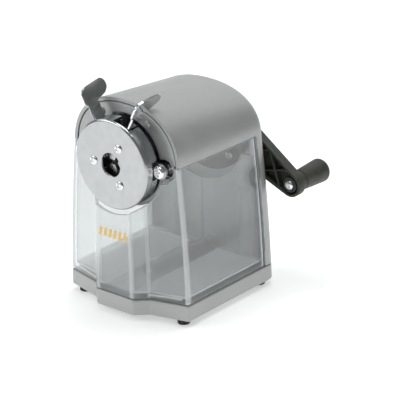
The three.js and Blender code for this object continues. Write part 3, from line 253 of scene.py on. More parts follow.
def lathe(x, z, profile, steps=64, recess=None):
    """Profile of (radius, y) points turned about the line through (x, z) along Y.
    recess, if given, moves a point along Y by a function of its place off the axis."""
    radius, y = np.array(profile, float).T
    turn = around(steps)
    px, pz = radius * np.cos(turn), radius * np.sin(turn)
    if recess:
        y = y + recess(px, pz)
    return grid(xyz(x + px, y, z + pz), wrap_u=True)


def standing(x, y, profile, steps=40, recess=None):
    """Profile of (radius, z) points turned about the upright through (x, y)."""
    points, quads = lathe(0, 0, profile, steps, recess)
    return points[:, [0, 2, 1]] + np.array([x, y, 0]), quads


def arc(cx, cy, r, a0, a1, n=6):
    """Points on an arc in a profile, angles in degrees."""
    a = np.radians(np.linspace(a0, a1, n))
    return list(zip(cx + r * np.cos(a), cy + r * np.sin(a)))


def dome(radius, level, height, start, n, core=0.0):
    """Quarter of an ellipse in a profile, from its crown at -Y out to its full radius past a core."""
    a = np.linspace(start, pi / 2, n)
    return list(zip(core + radius * np.sin(a), level - height * np.cos(a)))


def dense(points, step):
    """The profile with extra points so that none are farther apart than step."""
    out = [points[0]]
    for (r0, y0), (r1, y1) in zip(points[:-1], points[1:]):
        share = np.linspace(0, 1, max(ceil(np.hypot(r1 - r0, y1 - y0) / step), 1) + 1)[1:]
        out += zip(r0 + share * (r1 - r0), y0 + share * (y1 - y0))
    return out


def cross_recess(half_width, reach, depth, turn=0.0):
    """A driver's cross sunk along +Y: two bars that fade at their ends and walls."""
    soft = 0.35 * half_width

    def bar(across, along):
        return (1 - smooth(half_width - soft, half_width + soft, across)) * (1 - smooth(reach - 2 * soft, reach, along))

    def move(px, pz):
        c, s = cos(turn), sin(turn)
        u, v = np.abs(px * c + pz * s), np.abs(-px * s + pz * c)
        return depth * np.maximum(bar(u, v), bar(v, u))
    return move


def capped(rows):
    """The rows of a bar, with a row drawn in to its centre at each end."""
    first, last = (row.mean(1, keepdims=True).repeat(rows.shape[1], 1) for row in (rows[:1], rows[-1:]))
    return np.concatenate([first, rows, last], 0)


def rounded_outline(corners, radii, inset, samples):
    """A polygon drawn in by inset, with round corners, as the same number of points for every inset.
    Outward corners lose the inset from their radius and inward corners gain it."""
    poly = np.array(corners, float)
    d = np.roll(poly, -1, 0) - poly
    d /= np.linalg.norm(d, axis=1)[:, None]
    normal = np.stack([-d[:, 1], d[:, 0]], 1)
    before, after = np.roll(normal, 1, 0), normal
    mitre = (before + after) / (1 + (before * after).sum(1))[:, None]
    turn = np.roll(d, 1, 0)
    sign = np.sign(turn[:, 0] * d[:, 1] - turn[:, 1] * d[:, 0])
    radius = np.maximum(np.array(radii) - sign * inset, 0.12)
    centre = poly + mitre * inset + mitre * (sign * radius)[:, None]
    out = []
    t = np.linspace(0, 1, 9)[:, None]
    for i in range(len(poly)):
        j = (i + 1) % len(poly)
        a = atan2(-sign[i] * before[i, 1], -sign[i] * before[i, 0])
        b = atan2(-sign[i] * after[i, 1], -sign[i] * after[i, 0])
        swing = a + ((b - a + pi) % (2 * pi) - pi) * t
        bend = centre[i] + radius[i] * np.hstack([np.cos(swing), np.sin(swing)])
        begin = centre[j] - sign[j] * radius[j] * before[j]
        run = np.linspace(0, 1, samples[i] + 2)[1:-1, None]
        out += [bend, bend[-1] + run * (begin - bend[-1])]
    return np.concatenate(out)


def bodied(x, y, z):
    """The body's form: sides curve in with height and the front leans back."""
    return xyz(x * side_at(z) / HALF, y + lean_at(y, z), z)


def stadium(flat=10, bend=7):
    """Cross-section of a flat bar with round edges, as (share along the flat, cos, sin)."""
    run = np.linspace(1, -1, flat)
    turn = np.linspace(pi / 2, 3 * pi / 2, bend + 2)[1:-1]
    a = np.concatenate([run, -np.ones(bend), run[::-1], np.ones(bend)])
    t = np.concatenate([np.full(flat, pi / 2), turn, np.full(flat, 1.5 * pi), turn + pi])
    return a, np.cos(t), np.sin(t)


# ------------------------------------------------------------------ materials
class Finish:
    """A material on object coordinates in millimetres, with short calls for its nodes."""

    def __init__(self, name):
        self.material = bpy.data.materials.new(name)
        self.material.use_nodes = True
        self.tree = self.material.node_tree
        self.shader = self.tree.nodes["Principled BSDF"]
        place = self.node("TexCoord", {}).outputs["Object"]
        self.at = self.node("Mapping", {"Scale": (1000, 1000, 1000), "Vector": place}).outputs["Vector"]

    def put(self, node, values):
        """Sets a node's inputs, or links them where an output is given."""
        for key, value in values.items():
            if isinstance(value, bpy.types.NodeSocket):
                self.tree.links.new(value, node.inputs[key])
            else:
                node.inputs[key].default_value = value

    def node(self, kind, values, **own):
        node = self.tree.nodes.new("ShaderNode" + kind)
        for key, value in own.items():
            setattr(node, key, value)
        self.put(node, values)
        return node

    def noise(self, scale, detail=3.0, roughness=0.55, stretch=None):
        at = self.node("Mapping", {"Scale": stretch, "Vector": self.at}).outputs["Vector"] if stretch else self.at
        values = {"Scale": scale, "Detail": detail, "Roughness": roughness, "Vector": at}
        return self.node("TexNoise", values).outputs["Fac"]

    def ranged(self, value, low, high, start=0.3, end=0.7):
        values = {"From Min": start, "From Max": end, "To Min": low, "To Max": high, "Value": value}
        return self.node("MapRange", values).outputs["Result"]

    def surface(self, tint, first, second, gloss, low, high, **constants):
        """Colour runs from first to second with tint, roughness from low to high with gloss."""
        mix = self.node("Mix", {"A": (*first, 1), "B": (*second, 1), "Factor": tint}, data_type="RGBA")
        self.put(self.shader, {"Base Color": mix.outputs["Result"], "Roughness": self.ranged(gloss, low, high)})
        self.put(self.shader, {key.replace("_", " "): value for key, value in constants.items()})

    def bump(self, height, strength, distance, before=None, on=None):
        """Bump from a height, over an earlier bump if one is given."""
        values = {"Strength": strength, "Distance": distance, "Height": height}
        if before:
            values["Normal"] = before
        normal = self.node("Bump", values).outputs["Normal"]
        self.put(on or self.shader, {"Normal": normal})
        return normal


def shaded(color, factor):
    return tuple(min(c * factor, 1.0) for c in color)


def metallic_paint(name, color):
    """Silver paint: flakes glint at random, patches vary in gloss, orange peel under a clear coat."""
    f = Finish(name)
    flake = f.node("TexVoronoi", {"Scale": 9.0, "Vector": f.at}).outputs["Color"]
    grey = f.node("RGBToBW", {"Color": flake}).outputs["Val"]
    f.surface(f.ranged(grey, 0, 1, 0.1, 0.9), shaded(color, 0.86), shaded(color, 1.14), f.noise(0.12), 0.36, 0.5,
              Metallic=0.5, Coat_Weight=0.25, Coat_Roughness=0.2)
    peel = f.bump(f.noise(0.8, 2), 0.12, 0.0002)
    f.bump(grey, 0.05, 0.0001, peel)
    return f.material


def worked_metal(name, color, low, high, streak=(1, 1, 1), scratch=0.05, metallic=1.0):
    """Plated or worked metal: gloss varies in patches, with faint streaks or fine scratches."""
    f = Finish(name)
    f.surface(f.ranged(f.noise(0.25, 4), 0, 1), shaded(color, 0.93), shaded(color, 1.04), f.noise(0.5, 5), low, high,
              Metallic=metallic)
    f.bump(f.noise(2.0, 4, 0.7, streak), scratch, 0.0001)
    return f.material


def grained_plastic(name, color):
    """Dark moulded plastic with a fine leathery grain and rubbed, glossier patches."""
    f = Finish(name)
    f.surface(f.ranged(f.noise(0.15, 4), 0, 1), shaded(color, 0.8), shaded(color, 1.35), f.noise(0.3), 0.38, 0.58)
    grain = f.node("TexVoronoi", {"Scale": 3.2, "Vector": f.at}, feature="SMOOTH_F1")
    f.bump(grain.outputs["Distance"], 0.22, 0.0002)
    return f.material


def rubber(name):
    """Black rubber: matt, dusty, finely pitted."""
    f = Finish(name)
    f.surface(f.ranged(f.noise(0.6), 0, 1), (0.012, 0.012, 0.012), (0.035, 0.034, 0.033), f.noise(1.4), 0.7, 0.9)
    f.bump(f.noise(3.5, 5), 0.3, 0.0002)
    return f.material


def paper(name):
    """Pale paper that gives back a little light of its own."""
    f = Finish(name)
    f.surface(f.ranged(f.noise(0.02), 0, 1), (0.86, 0.86, 0.86), (0.89, 0.89, 0.89), f.noise(0.3), 0.55, 0.7,
              Emission_Color=(1, 1, 1, 1), Emission_Strength=0.4)
    return f.material


def clear_styrene(name):
    """Clear moulded plastic: mostly see-through, a pale haze, a polished skin that mirrors at
    grazing angles, flow marks and fine scratches. The haze thickens at the rims."""
    f = Finish(name)
    f.tree.nodes.remove(f.shader)
    through = f.node("BsdfTransparent", {"Color": (0.915, 0.93, 0.928, 1)})
    milk = f.node("BsdfDiffuse", {"Color": (0.86, 0.88, 0.885, 1)})
    gloss = f.node("BsdfGlossy", {"Color": (1, 1, 1, 1), "Roughness": f.ranged(f.noise(0.1, 4), 0.05, 0.13)})
    streaks = f.ranged(f.noise(0.07, 2, 0.5, (1, 1, 0.3)), 0.02, 0.07)
    # painted highlight: the rim attribute whitens the drawer's edges, corners and floor fillet
    rim = f.node("Attribute", {}, attribute_name="rim").outputs["Fac"]
    haze_and_highlight = f.node("Math", {0: streaks, 1: rim}, operation="MAXIMUM").outputs["Value"]
    body = f.node("MixShader", {"Fac": haze_and_highlight, 1: through.outputs["BSDF"], 2: milk.outputs["BSDF"]})
    edge = f.node("LayerWeight", {"Blend": 0.5})
    bend = f.node("Math", {0: edge.outputs["Facing"], 1: 3.2}, operation="POWER").outputs["Value"]
    skin = f.ranged(bend, 0.045, 0.85, 0, 1)
    top = f.node("MixShader", {"Fac": skin, 1: body.outputs["Shader"], 2: gloss.outputs["BSDF"]})
    f.put(f.tree.nodes["Material Output"], {"Surface": top.outputs["Shader"]})
    mark = f.noise(0.35, 3, 0.5, (1, 1, 0.35))
    for target in (gloss, edge):
        f.bump(mark, 0.08, 0.0003, on=target)
    return f.material


MATERIALS = {}


def materials():
    """The palette, made once."""
    if not MATERIALS:
        s = settings()
        metal = tuple(s.metal)
        along = (1, 6, 1)
        MATERIALS.update(
            paint=metallic_paint("silver_paint", s.paint),
            satin=worked_metal("satin_chrome", metal, 0.16, 0.26, scratch=0.03),
            chrome=worked_metal("polished_chrome", shaded(metal, 1.8), 0.05, 0.12, scratch=0.02),
            steel=worked_metal("plain_steel", (0.56, 0.565, 0.57), 0.24, 0.4, along, 0.15),
            dark=worked_metal("dark_steel", (0.15, 0.155, 0.165), 0.3, 0.45, along, 0.15),
            brass=worked_metal("brass", (0.62, 0.49, 0.24), 0.22, 0.36, along, 0.12),
            foil=worked_metal("gold_foil", s.foil, 0.25, 0.4, scratch=0.1, metallic=0.7),
            plastic=grained_plastic("dark_plastic", s.plastic),
            rubber=rubber("black_rubber"),
            clear=clear_styrene("clear_plastic"),
        )
    return MATERIALS


# ------------------------------------------------------------------ base
def add_base():
    """Base: the stepped outline carried round a profile of inset and height, hollow below, with
    the half-round boss of the clamp socket on its floor and four round seats for the feet."""
    r = settings().edge / MM
    under, pull = 6.0, 4.0
    middle = np.array([0, 30])
    profile = [(24, under), (12, under), (2.6, under), (2.1, 5.6), (2.0, 0.4), (1.7, 0.0), (r, 0.0)]
    outside = len(profile)
    profile += arc(r, r, r, -90, -180)[1:] + [(0, 2.5), (0, 5.0), (0, BASE_TOP - r)]
    profile += arc(r, BASE_TOP - r, r, 180, 90)[1:] + [(inset, BASE_TOP) for inset in (2, 6, 12, 24)]
    rows = []
    for number, (inset, z) in enumerate(profile):
        loop = rounded_outline(BASE_CORNERS, [1.2, 1.5, 1.2, 1.2, 1.5, 1.2, 5, 5], min(inset, pull),
                               [14, 6, 40, 6, 14, 40, 120, 40])
        if inset > pull:
            loop = middle + (loop - middle) * (1 - (inset - pull) / 34)
        height = np.full(len(loop), float(z))
        if number >= outside:
            notch = np.sqrt(np.clip(SOCKET ** 2 - loop[:, 0] ** 2, 0, None))
            height *= 1 - 0.97 * notch * smooth(48, 60, loop[:, 1]) / BASE_TOP
        rows.append(bodied(loop[:, 0], loop[:, 1], height))
    shell = np.stack(rows, 1)
    floors = [np.broadcast_to([0.0, 30.0, z], (len(shell), 1, 3)) for z in (under, BASE_TOP)]
    sheets = [grid(np.concatenate([floors[0], shell, floors[1]], 1), wrap_u=True)]
    # boss: half a bar with a round nose, a flat ring at its end and the bore inside it
    turn = np.linspace(0, pi, 33)[:, None]
    run = np.concatenate([np.linspace(0, pi / 2, 10)[:-1], np.full(20, pi / 2)])
    end = REAR - 0.02
    along = np.concatenate([BOSS_NOSE - BOSS * np.cos(run[:9]), np.linspace(BOSS_NOSE, end, 20)])
    for radius, y in ((BOSS * np.sin(run), along), (np.linspace(SOCKET + 0.05, BOSS, 5), end)):
        sheets.append(grid(xyz(radius * np.cos(turn), y, BASE_TOP + radius * np.sin(turn))))
    bore = SOCKET - 0.1
    sheets.append(lathe(0, SOCKET_AXIS, dense([(0, 40), (bore, 41), (bore, REAR - 0.4), (4.0, REAR - 0.05)], 3), 48))
    seat = [(4.2, under), (4.2, 0.5), (4.0, 0.2), (3.6, 0.2), (3.5, 0.5), (3.5, 1.3), (0, 1.3)]
    sheets += [standing(x, y, seat) for x in (-31.9, 31.9) for y in (3.2, 59.9)]
    make("base_body", sheets, "housing", "base", "paint")


def add_feet():
    """Feet: a squat turned rubber pad with a rolled edge and a shallow dimple."""
    pad = [(0, -2.7), (1.0, -2.75), (1.5, -3), (2.6, -3)] + arc(2.6, -2.5, 0.5, -90, 0)[1:]
    pad += [(3.18, 0.0), (3.2, 1), (0, 1)]
    for name, (x, y) in FOOT_PLACES.items():
        make("rubber_" + name, [standing(x, y, pad)], "housing", "foot_" + name, "rubber")


# ------------------------------------------------------------------ hood
def add_hood():
    """Hood: a section of tapered sides and a superelliptic arch carried to the back. Ahead of the
    column only the part above the eaves is kept. The crest falls, the rear edges turn in on a
    quarter circle, and the rear wall runs in on straight lines to the shaft's hole."""
    across = np.linspace(0, 1, 111)
    rise = np.linspace(0, 1, 26)[:-1]
    under = np.linspace(1, -1, 61)[1:-1]
    ahead = 0.6 + 57.4 * np.linspace(0, 1, 40)
    straight = REAR - 5
    rows = np.concatenate([ahead, [58.02, 59.2, 60.2, straight]])
    columns = len(rise) * 2 + len(across) + len(under)

    def loop(y, squeeze):
        eave = eave_at(y)
        start = asin(((eave - AXIS) / ARCH_RISE) ** (ARCH_POWER / 2))
        turn = start + (pi - 2 * start) * across
        c, s = np.cos(turn), np.sin(turn)
        arch_x = np.sign(c) * np.abs(c) ** (2 / ARCH_POWER) * ARCH_HALF
        arch_z = s ** (2 / ARCH_POWER) * crest_at(y)
        side_z = HOOD_FOOT + (eave - HOOD_FOOT) * rise
        above = np.clip(side_z - AXIS, 0, None)
        shoulder = ARCH_HALF * (1 - (above / ARCH_RISE) ** ARCH_POWER) ** (1 / ARCH_POWER)
        side_x = np.where(side_z < AXIS, side_at(side_z), shoulder)
        foot_x = under * -side_at(HOOD_FOOT)
        notch = np.sqrt(np.clip(5.6 ** 2 - foot_x ** 2, 0, None)) - 0.15 * (np.abs(foot_x) < 5.6)
        x = np.concatenate([side_x, arch_x, -side_x[::-1], foot_x]) * squeeze
        z = np.concatenate([side_z, AXIS + arch_z, side_z[::-1], HOOD_FOOT + notch])
        return x, np.where(z > AXIS, AXIS + (z - AXIS) * squeeze, z)

    shell = []
    for y in rows:
        x, z = loop(y, 1.0)
        shell.append(xyz(x, y + lean_at(y, z), z))
    for t in np.linspace(0, pi / 2, 12)[1:]:
        y = straight + 5 * sin(t)
        x, z = loop(y, 1 - 5 * (1 - cos(t)) / ARCH_HALF)
        shell.append(xyz(x, y, z))
    last = shell[-1]
    angle = np.arctan2(last[:, 2] - AXIS, last[:, 0])
    hole = xyz(6 * np.cos(angle), REAR, AXIS + 6 * np.sin(angle))
    shell += [last * (1 - w) + hole * w for w in (0.08, 0.2, 0.35, 0.5, 0.65, 0.8, 0.9, 1.0)]
    keep = np.ones((len(shell) - 1, columns), bool)
    open_rows = len(ahead) - 1
    keep[:open_rows, : len(rise)] = False
    keep[:open_rows, len(rise) + len(across) - 1:] = False
    keep[: len(rows) + 10, columns - len(under) - 1:] = False
    make("hood_shell", [grid(np.stack(shell), wrap_v=True, keep=keep)], "housing", "hood", "paint", outward=False,
         extra=(solidify(2.0), bevel(0.35, 3, 50)))
    # two posts inside the column take the screws from below
    post = [(0, 8.5), (3.2, 8.5), (3.35, 8.8), (3.1, 44), (2.8, 44.3), (0, 44.3)]
    make("hood_posts", [standing(x, y, post) for x, y in SCREW_PLACES.values()], "housing", None, "paint")


# ------------------------------------------------------------------ bezel
def far_edge(angle, centre, radius):
    """Where a ray from the pencil axis leaves a circle centred beside it, or 0."""
    root = radius ** 2 - (centre * np.sin(angle)) ** 2
    return np.where(root > 0, centre * np.cos(angle) + np.sqrt(np.clip(root, 0, None)), 0.0)


def add_bezel():
    """Bezel: in polar form about the pencil axis, with the opening's and the outer edge's radius
    each the greatest of the circles and the arch that the ray leaves. Carried round a closed
    profile with rolled edges and a raised lip about the opening."""
    corners = [-9.9, -9.7, 9.7, 9.9, 170.1, 170.3, -170.1, -170.3, 12.6, 12.9, 167.1, 167.4]
    angle = np.unique(np.concatenate([np.linspace(-pi, pi, 721)[:-1], np.radians(corners)]))
    inner, outer = np.full(len(angle), 21.6), np.full(len(angle), 24.0)
    for side in (0, pi):
        inner = np.maximum(inner, far_edge(angle - side, ROD, 4.7))
        outer = np.maximum(outer, far_edge(angle - side, ROD, 5.8))
    degrees = np.degrees(angle)
    inner = inner + 1.25 * smooth(71, 73, degrees) * (1 - smooth(109, 111, degrees))
    c, s = np.cos(angle), np.sin(angle)
    half, rise = ARCH_HALF - 2.4, ARCH_RISE - 2.4
    arch = ((np.abs(c) / half) ** ARCH_POWER + (np.abs(s) / rise) ** ARCH_POWER) ** (-1 / ARCH_POWER)
    outer = np.maximum(outer, outer + (arch - outer) * smooth(2.45, 2.65, arch * s))
    front, back = 2.2, 4.2
    # share of the way from the opening to the outer edge, step outwards, depth
    profile = [(0, 0, back), (0, 0, front + 0.5), (0, 0.12, front + 0.15), (0, 0.35, front), (0, 0.8, front),
               (0, 1.1, front + 0.15), (0.35, 1.0, front + 0.15), (0.65, 0, front + 0.15),
               (1, -0.5, front + 0.15), (1, -0.15, front + 0.25), (1, 0, front + 0.55),
               (1, 0, back), (0.5, 0, back), (0, 0.9, back)]
    share, step, depth = np.array(profile).T
    radius = inner[:, None] + (outer - inner)[:, None] * share + step
    plate = xyz(c[:, None] * radius, depth, AXIS + s[:, None] * radius)
    make("bezel_plate", [grid(plate, wrap_u=True, wrap_v=True)], "housing", "front_bezel", "paint")
    stud = [(0, 0.9)] + dome(1.8, 2.1, 1.2, 0.15, 9) + [(1.8, 2.15), (0, 2.15)]
    pin = [(0, 2.0), (1.0, 2.0), (1.0, 12.6), (0.7, 13), (0, 13)]
    x, z = polar(25.25, 54.7)
    for name, side in SIDES:
        make("bezel_stud_" + name, [lathe(side * x, z, stud, 40), lathe(side * x, z, pin, 24)], "housing",
             "bezel_screw_" + name, "paint")


# ------------------------------------------------------------------ drawer
def drawer_top(plan_x, y):
    """Height of the drawer's top edge over a point of its outline: the eaves' line at the sides,
    the round openings in front and behind."""
    eave = eave_at(y) - 0.35
    z = np.full(len(plan_x), 70.0)

    def under_circle(x, centre, radius, other):
        root = radius ** 2 - (x - centre) ** 2
        return np.where(root > 0, np.minimum(other, AXIS - np.sqrt(np.clip(root, 0, None))), other)

    for _ in range(8):
        x = np.abs(plan_x * side_at(z) / HALF)
        front = under_circle(x, ROD, 6.7, under_circle(x, 0, 24.9, eave))
        between = (x > 22) & (x < ROD + 6.7)
        pocket = AXIS - np.sqrt(np.clip(6.7 ** 2 - (x - ROD) ** 2, 0, None))
        front = np.where(between, np.minimum(front, pocket), front)
        rear = under_circle(x, 0, 27.6, np.full(len(x), 66.0))
        z = np.where(y < 2.5, front, np.where(y > 55.9, rear, eave))
    return z


def drawer_loop(inset):
    corners = [(x, min(y, DRAWER_BACK)) for x, y in BASE_CORNERS]
    return rounded_outline(corners, [1.1, 1.2, 0.9, 0.9, 1.2, 1.1, 1.2, 1.2], inset,
                           [110, 12, 90, 12, 110, 50, 160, 50])


def drawer_floor(level, radius, edge):
    """Heights over the plan: level, or a half-round tunnel with a round nose where that is higher."""
    bend = np.linspace(0, pi / 2, 26)
    reach = sqrt(radius ** 2 - (level - SOCKET_AXIS) ** 2)
    xs = np.concatenate([np.linspace(-HALF + edge, -reach - 0.1, 30), -reach * np.cos(bend),
                         reach * np.sin(bend)[1:], np.linspace(reach + 0.1, HALF - edge, 30)])
    begin = np.interp(xs, *np.transpose(BASE_CORNERS[:6])) + edge * 1.05
    share = np.concatenate([np.linspace(0, 0.3, 12), np.linspace(0.3, 0.5, 30)[1:], np.linspace(0.5, 1, 20)[1:]])
    y = begin[:, None] + (57.5 - edge - begin[:, None]) * share
    x = np.broadcast_to(xs[:, None], y.shape)
    ahead = np.clip(BOSS_NOSE - y, 0, None)
    tunnel = SOCKET_AXIS + np.sqrt(np.clip(radius ** 2 - x ** 2 - ahead ** 2, 0, None))
    return grid(bodied(x, y, np.maximum(level, tunnel)))


def edge_highlight_and_haze(x, y, z):
    """Haze of the drawer: most along its top edge, then the upright corners, the fillet round the
    floor, the front and back walls and the floor."""
    plan_x, plan_y = x * HALF / side_at(z), y - lean_at(y, z)
    # painted highlight along the top edge
    haze_and_highlight = 0.55 * np.exp(-np.abs(drawer_top(plan_x, plan_y) - z) / 0.35) * (np.abs(z - 10) > 3)
    # painted highlight down the upright corners
    for cx, cy, weight in ((HALF, 0, 0.6), (17.6, -5.1, 0.35), (11.6, -10.5, 0.45), (HALF, DRAWER_BACK, 0.6)):
        gap = np.hypot(np.abs(plan_x) - cx + 0.9, plan_y - cy - (0.9 if cy < 50 else -0.9))
        haze_and_highlight = np.maximum(haze_and_highlight, weight * (1 - smooth(0.9, 1.9, gap)))
    # painted highlight on the fillet round the floor; less on the back wall, rising towards the top, on the front wall
    # and on the floor
    for weight, where in (
        (0.6, (np.abs(z - 11.0) < 0.35) & (np.abs(x) > 8)),
        (0.16, (plan_y > 55.5) * (np.abs(plan_x) < 35) * smooth(12, 40, z)),
        (0.13, (plan_y < 2.6) * (z > 11)),
        (0.08, np.abs(z - DRAWER_FLOOR) < 0.1),
    ):
        haze_and_highlight = np.maximum(haze_and_highlight, weight * where)
    return haze_and_highlight


def add_drawer():
    """Drawer: the outline carried up to a top edge that follows the openings, over the rim and
    down inside; its floor is a height over the plan, raised in a half-round tunnel."""
    wall = settings().drawer_wall / MM
    skin, lip, fillet = 0.15, 0.3, 0.6
    outer = drawer_loop(skin)
    side = (np.abs(outer[:, 0]) > 36.2) & (outer[:, 1] > 2.5)
    top = np.where(side, eave_at(outer[:, 1]) - 0.35, drawer_top(*outer.T)) - lip
    inside = DRAWER_FLOOR + fillet
    quarter = np.linspace(0, pi / 2, 5)
    rows = [(skin + 0.35 * max(1 - t / 0.006, 0), DRAWER_FOOT + (top - DRAWER_FOOT) * t)
            for t in [0.0, 0.006, *np.linspace(0.02, 1, 46)]]
    rows += [(skin + lip * (1 - cos(a)), top + lip * sin(a)) for a in quarter[1:]]
    rows += [(skin + wall - lip * (1 - sin(a)), top + lip * cos(a)) for a in quarter]
    rows += [(skin + wall, inside + (top - inside) * t) for t in np.linspace(1, 0, 46)[1:]]
    rows += [(skin + wall + fillet * (1 - cos(a)), inside - fillet * sin(a)) for a in quarter[1:]]
    walls = np.stack([bodied(*drawer_loop(inset).T, z) for inset, z in rows], 1)
    lower = drawer_floor(DRAWER_FOOT, 5.8, skin + 0.35)
    upper = drawer_floor(DRAWER_FLOOR, 7.2, skin + wall + 0.5)
    # rib on the rear wall
    a, c, s = stadium(8, 5)
    rib = xyz(0.35 * (a + c), 55.6 + 0.5 * s, np.linspace(15.6, 46.9, 30)[:, None])
    obj = make("drawer_box", [grid(walls, wrap_u=True), lower, upper, grid(rib, wrap_v=True)], "drawer", "drawer",
               "clear", sharp=50)
    co = np.empty(len(obj.data.vertices) * 3, np.float32)
    obj.data.vertices.foreach_get("co", co)
    # painted highlight: the rim attribute, whitest on the drawer's edges, corners and floor fillet
    layer = obj.data.attributes.new("rim", "FLOAT", "POINT")
    layer.data.foreach_set("value", edge_highlight_and_haze(*(co.reshape(-1, 3) / MM - SHIFT).T).astype(np.float32))


def add_mark():
    """Stamped mark: six slanted foil bars laid on the flat of the drawer's bay."""
    u, v = np.meshgrid(np.linspace(0, 1, 12), np.linspace(0, 1, 8), indexing="ij")
    z = 37.4 + 4.4 * v
    y = -10.4 + LEAN * z - 0.02 * np.sin(pi * u) * np.sin(pi * v)
    sheets = []
    for i in range(6):
        front = xyz(-9.2 + 3.05 * i + 1.7 * u + 1.1 * v, y, z)
        back = front + np.array([0, 0.04, 0])
        sheets.append(grid(np.concatenate([front, back[::-1]], 0), wrap_u=True))
    make("foil_mark", sheets, "drawer", None, "foil")


# ------------------------------------------------------------------ cup, ears and chuck
EAR_LOW = 30.12  # radius at which the pad of an ear begins
EAR_WIDTH = 8.2
EAR_SLOPE = 0.134
EAR_FRONT = -9.0
EAR_LENGTH = 17.6


def round_end(depth, r):
    """How far a round corner of radius r draws an edge in, at a depth from its end."""
    return r - np.sqrt(np.clip(r * r - (r - np.clip(depth, 0, r)) ** 2, 0, None))


def ear_edges(v):
    """Front and back edge of an ear at radius v: a stem, a flare into the pad, round corners."""
    corner = 3.6
    stem0 = EAR_FRONT + 1.4
    stem1 = stem0 + 7.4
    back = EAR_FRONT + EAR_LENGTH
    high = EAR_LOW + EAR_WIDTH
    pad = EAR_FRONT + round_end(v - (EAR_LOW - 1.2), 2.6) * 0.55
    y0 = np.where(v < EAR_LOW - 1.2, stem0, np.minimum(pad, stem0))
    y0 = y0 + round_end(high + EAR_SLOPE * 2 - v, corner) * (v > EAR_LOW + 2)
    flare = EAR_LOW + EAR_SLOPE * (stem1 - EAR_FRONT)
    rise_end = EAR_LOW + EAR_SLOPE * EAR_LENGTH
    reach = stem1 + (back - corner - stem1) * smooth(flare - 0.8, rise_end + 0.2, v)
    y1 = np.where(v < flare - 0.8, stem1, reach)
    y1 = np.minimum(y1 + corner * np.sqrt(smooth(rise_end - 0.2, rise_end + corner, v)), back)
    y1 = y1 - round_end(high + EAR_SLOPE * (EAR_LENGTH - 3.0) - v, corner)
    # above the sloping top edge the front gives way
    slope = EAR_FRONT + np.clip((v - high) / EAR_SLOPE, 0, None)
    y0 = np.maximum(y0, np.where(v > high, slope, y0))
    return y0, np.maximum(y1, y0 + 0.02)


def ear_sheet(angle, root, side):
    """Ear: a flat bar's round-edged cross-section carried outwards in the plane of the pencil
    axis, its two edges a function of the radius, dished for the finger."""
    half, dish = settings().ear_sheet / MM / 2, settings().ear_dish / MM
    top = EAR_LOW + EAR_WIDTH + EAR_SLOPE * 15.2
    v = np.concatenate([
        np.linspace(root, EAR_LOW - 1.4, 12), np.linspace(EAR_LOW - 1.2, EAR_LOW + 3, 40)[:-1],
        np.linspace(EAR_LOW + 3, top - 2.2, 14)[:-1], top - 2.2 * np.cos(np.linspace(0, pi / 2, 20)),
    ])[:, None]
    y0, y1 = ear_edges(v)
    a, c, s = stadium(26, 7)
    width = (y1 - y0) / 2
    thick = np.minimum(half, width * 0.9)
    y = (y0 + y1) / 2 + a * (width - thick) + thick * c
    hollow = smooth(EAR_LOW - 1, EAR_LOW + 3, v) * (1 - np.clip(((y + 0.2) / 8.8) ** 2, 0, 1))
    n = thick * s - side * dish * hollow * np.sin(np.clip((v - EAR_LOW) / 10, 0, 1) * pi)
    ca, sa = cos(radians(angle)), sin(radians(angle))
    return grid(capped(xyz(v * ca - n * sa, y, AXIS + v * sa + n * ca)), wrap_v=True)


def add_cup():
    """Face cup: a turned profile with a rolled rim and a lipped pencil hole; the rim's depth is a
    function of the angle, which opens the slot of the moving ear and the side notches. The fixed
    ear grows out of its rim."""
    hole, face, seat = 5.85, -8.9, -7.8
    slot, notch, ramp = (59.4, 86.6), (-11.4, 11.4), 0.25
    edges = [[a - ramp, a, b, b + ramp] for a, b in (slot, notch, (168.6, 191.4))]
    degrees = np.unique(np.concatenate([np.linspace(0, 360, 241)[:-1], np.mod(np.ravel(edges), 360)]))

    def inside(a, b, at):
        return smooth(a - ramp, a, at) * (1 - smooth(b, b + ramp, at))
    signed = np.mod(degrees + 180, 360) - 180
    beside = np.maximum(inside(*notch, signed), inside(168.6, 191.4, degrees))
    rear = -0.6 - 6.9 * inside(*slot, signed) - 3.6 * beside
    # radius, height along Y, and share of the way back to the rim
    profile = [(hole, -8.05, 0), (hole, -8.45, 0)]
    profile += [(hole + 0.5 * (1 - cos(t)), -8.55 - 0.43 * sin(t), 0) for t in np.linspace(0, pi / 2, 6)]
    profile += [(7.1, face - 0.08, 0)] + [(radius, face, 0) for radius in (7.6, 9, 12, 16, 19.6)]
    profile += [(20.4, face - 0.08, 0)] + [(*point, 0) for point in dome(1.2, -7.85, 1.15, 0, 10, 21.3)]
    profile += [(CUP, seat, 0.02), (CUP, 0, 0.5), (CUP, -0.25, 1), (CUP - 0.25, 0, 1), (CUP - 0.95, 0, 1),
                (CUP - 1.2, -0.25, 1), (21.3, 0, 0.5), (21.3, seat, 0.02), (20.8, -8.0, 0), (14, -8.0, 0), (8, -8.0, 0)]
    turn = np.radians(degrees)
    columns = []
    for radius, depth, share in profile:
        y = seat + (rear - seat) * share + (depth if share == 1 else 0) if share > 0 else depth
        columns.append(xyz(radius * np.cos(turn), y, AXIS + radius * np.sin(turn)))
    cup = grid(np.stack(columns, 1), wrap_u=True, wrap_v=True)
    make("face_plate", [cup, ear_sheet(118.0, 21.7, 1)], "carriage", "face_cup", "satin", sharp=40)


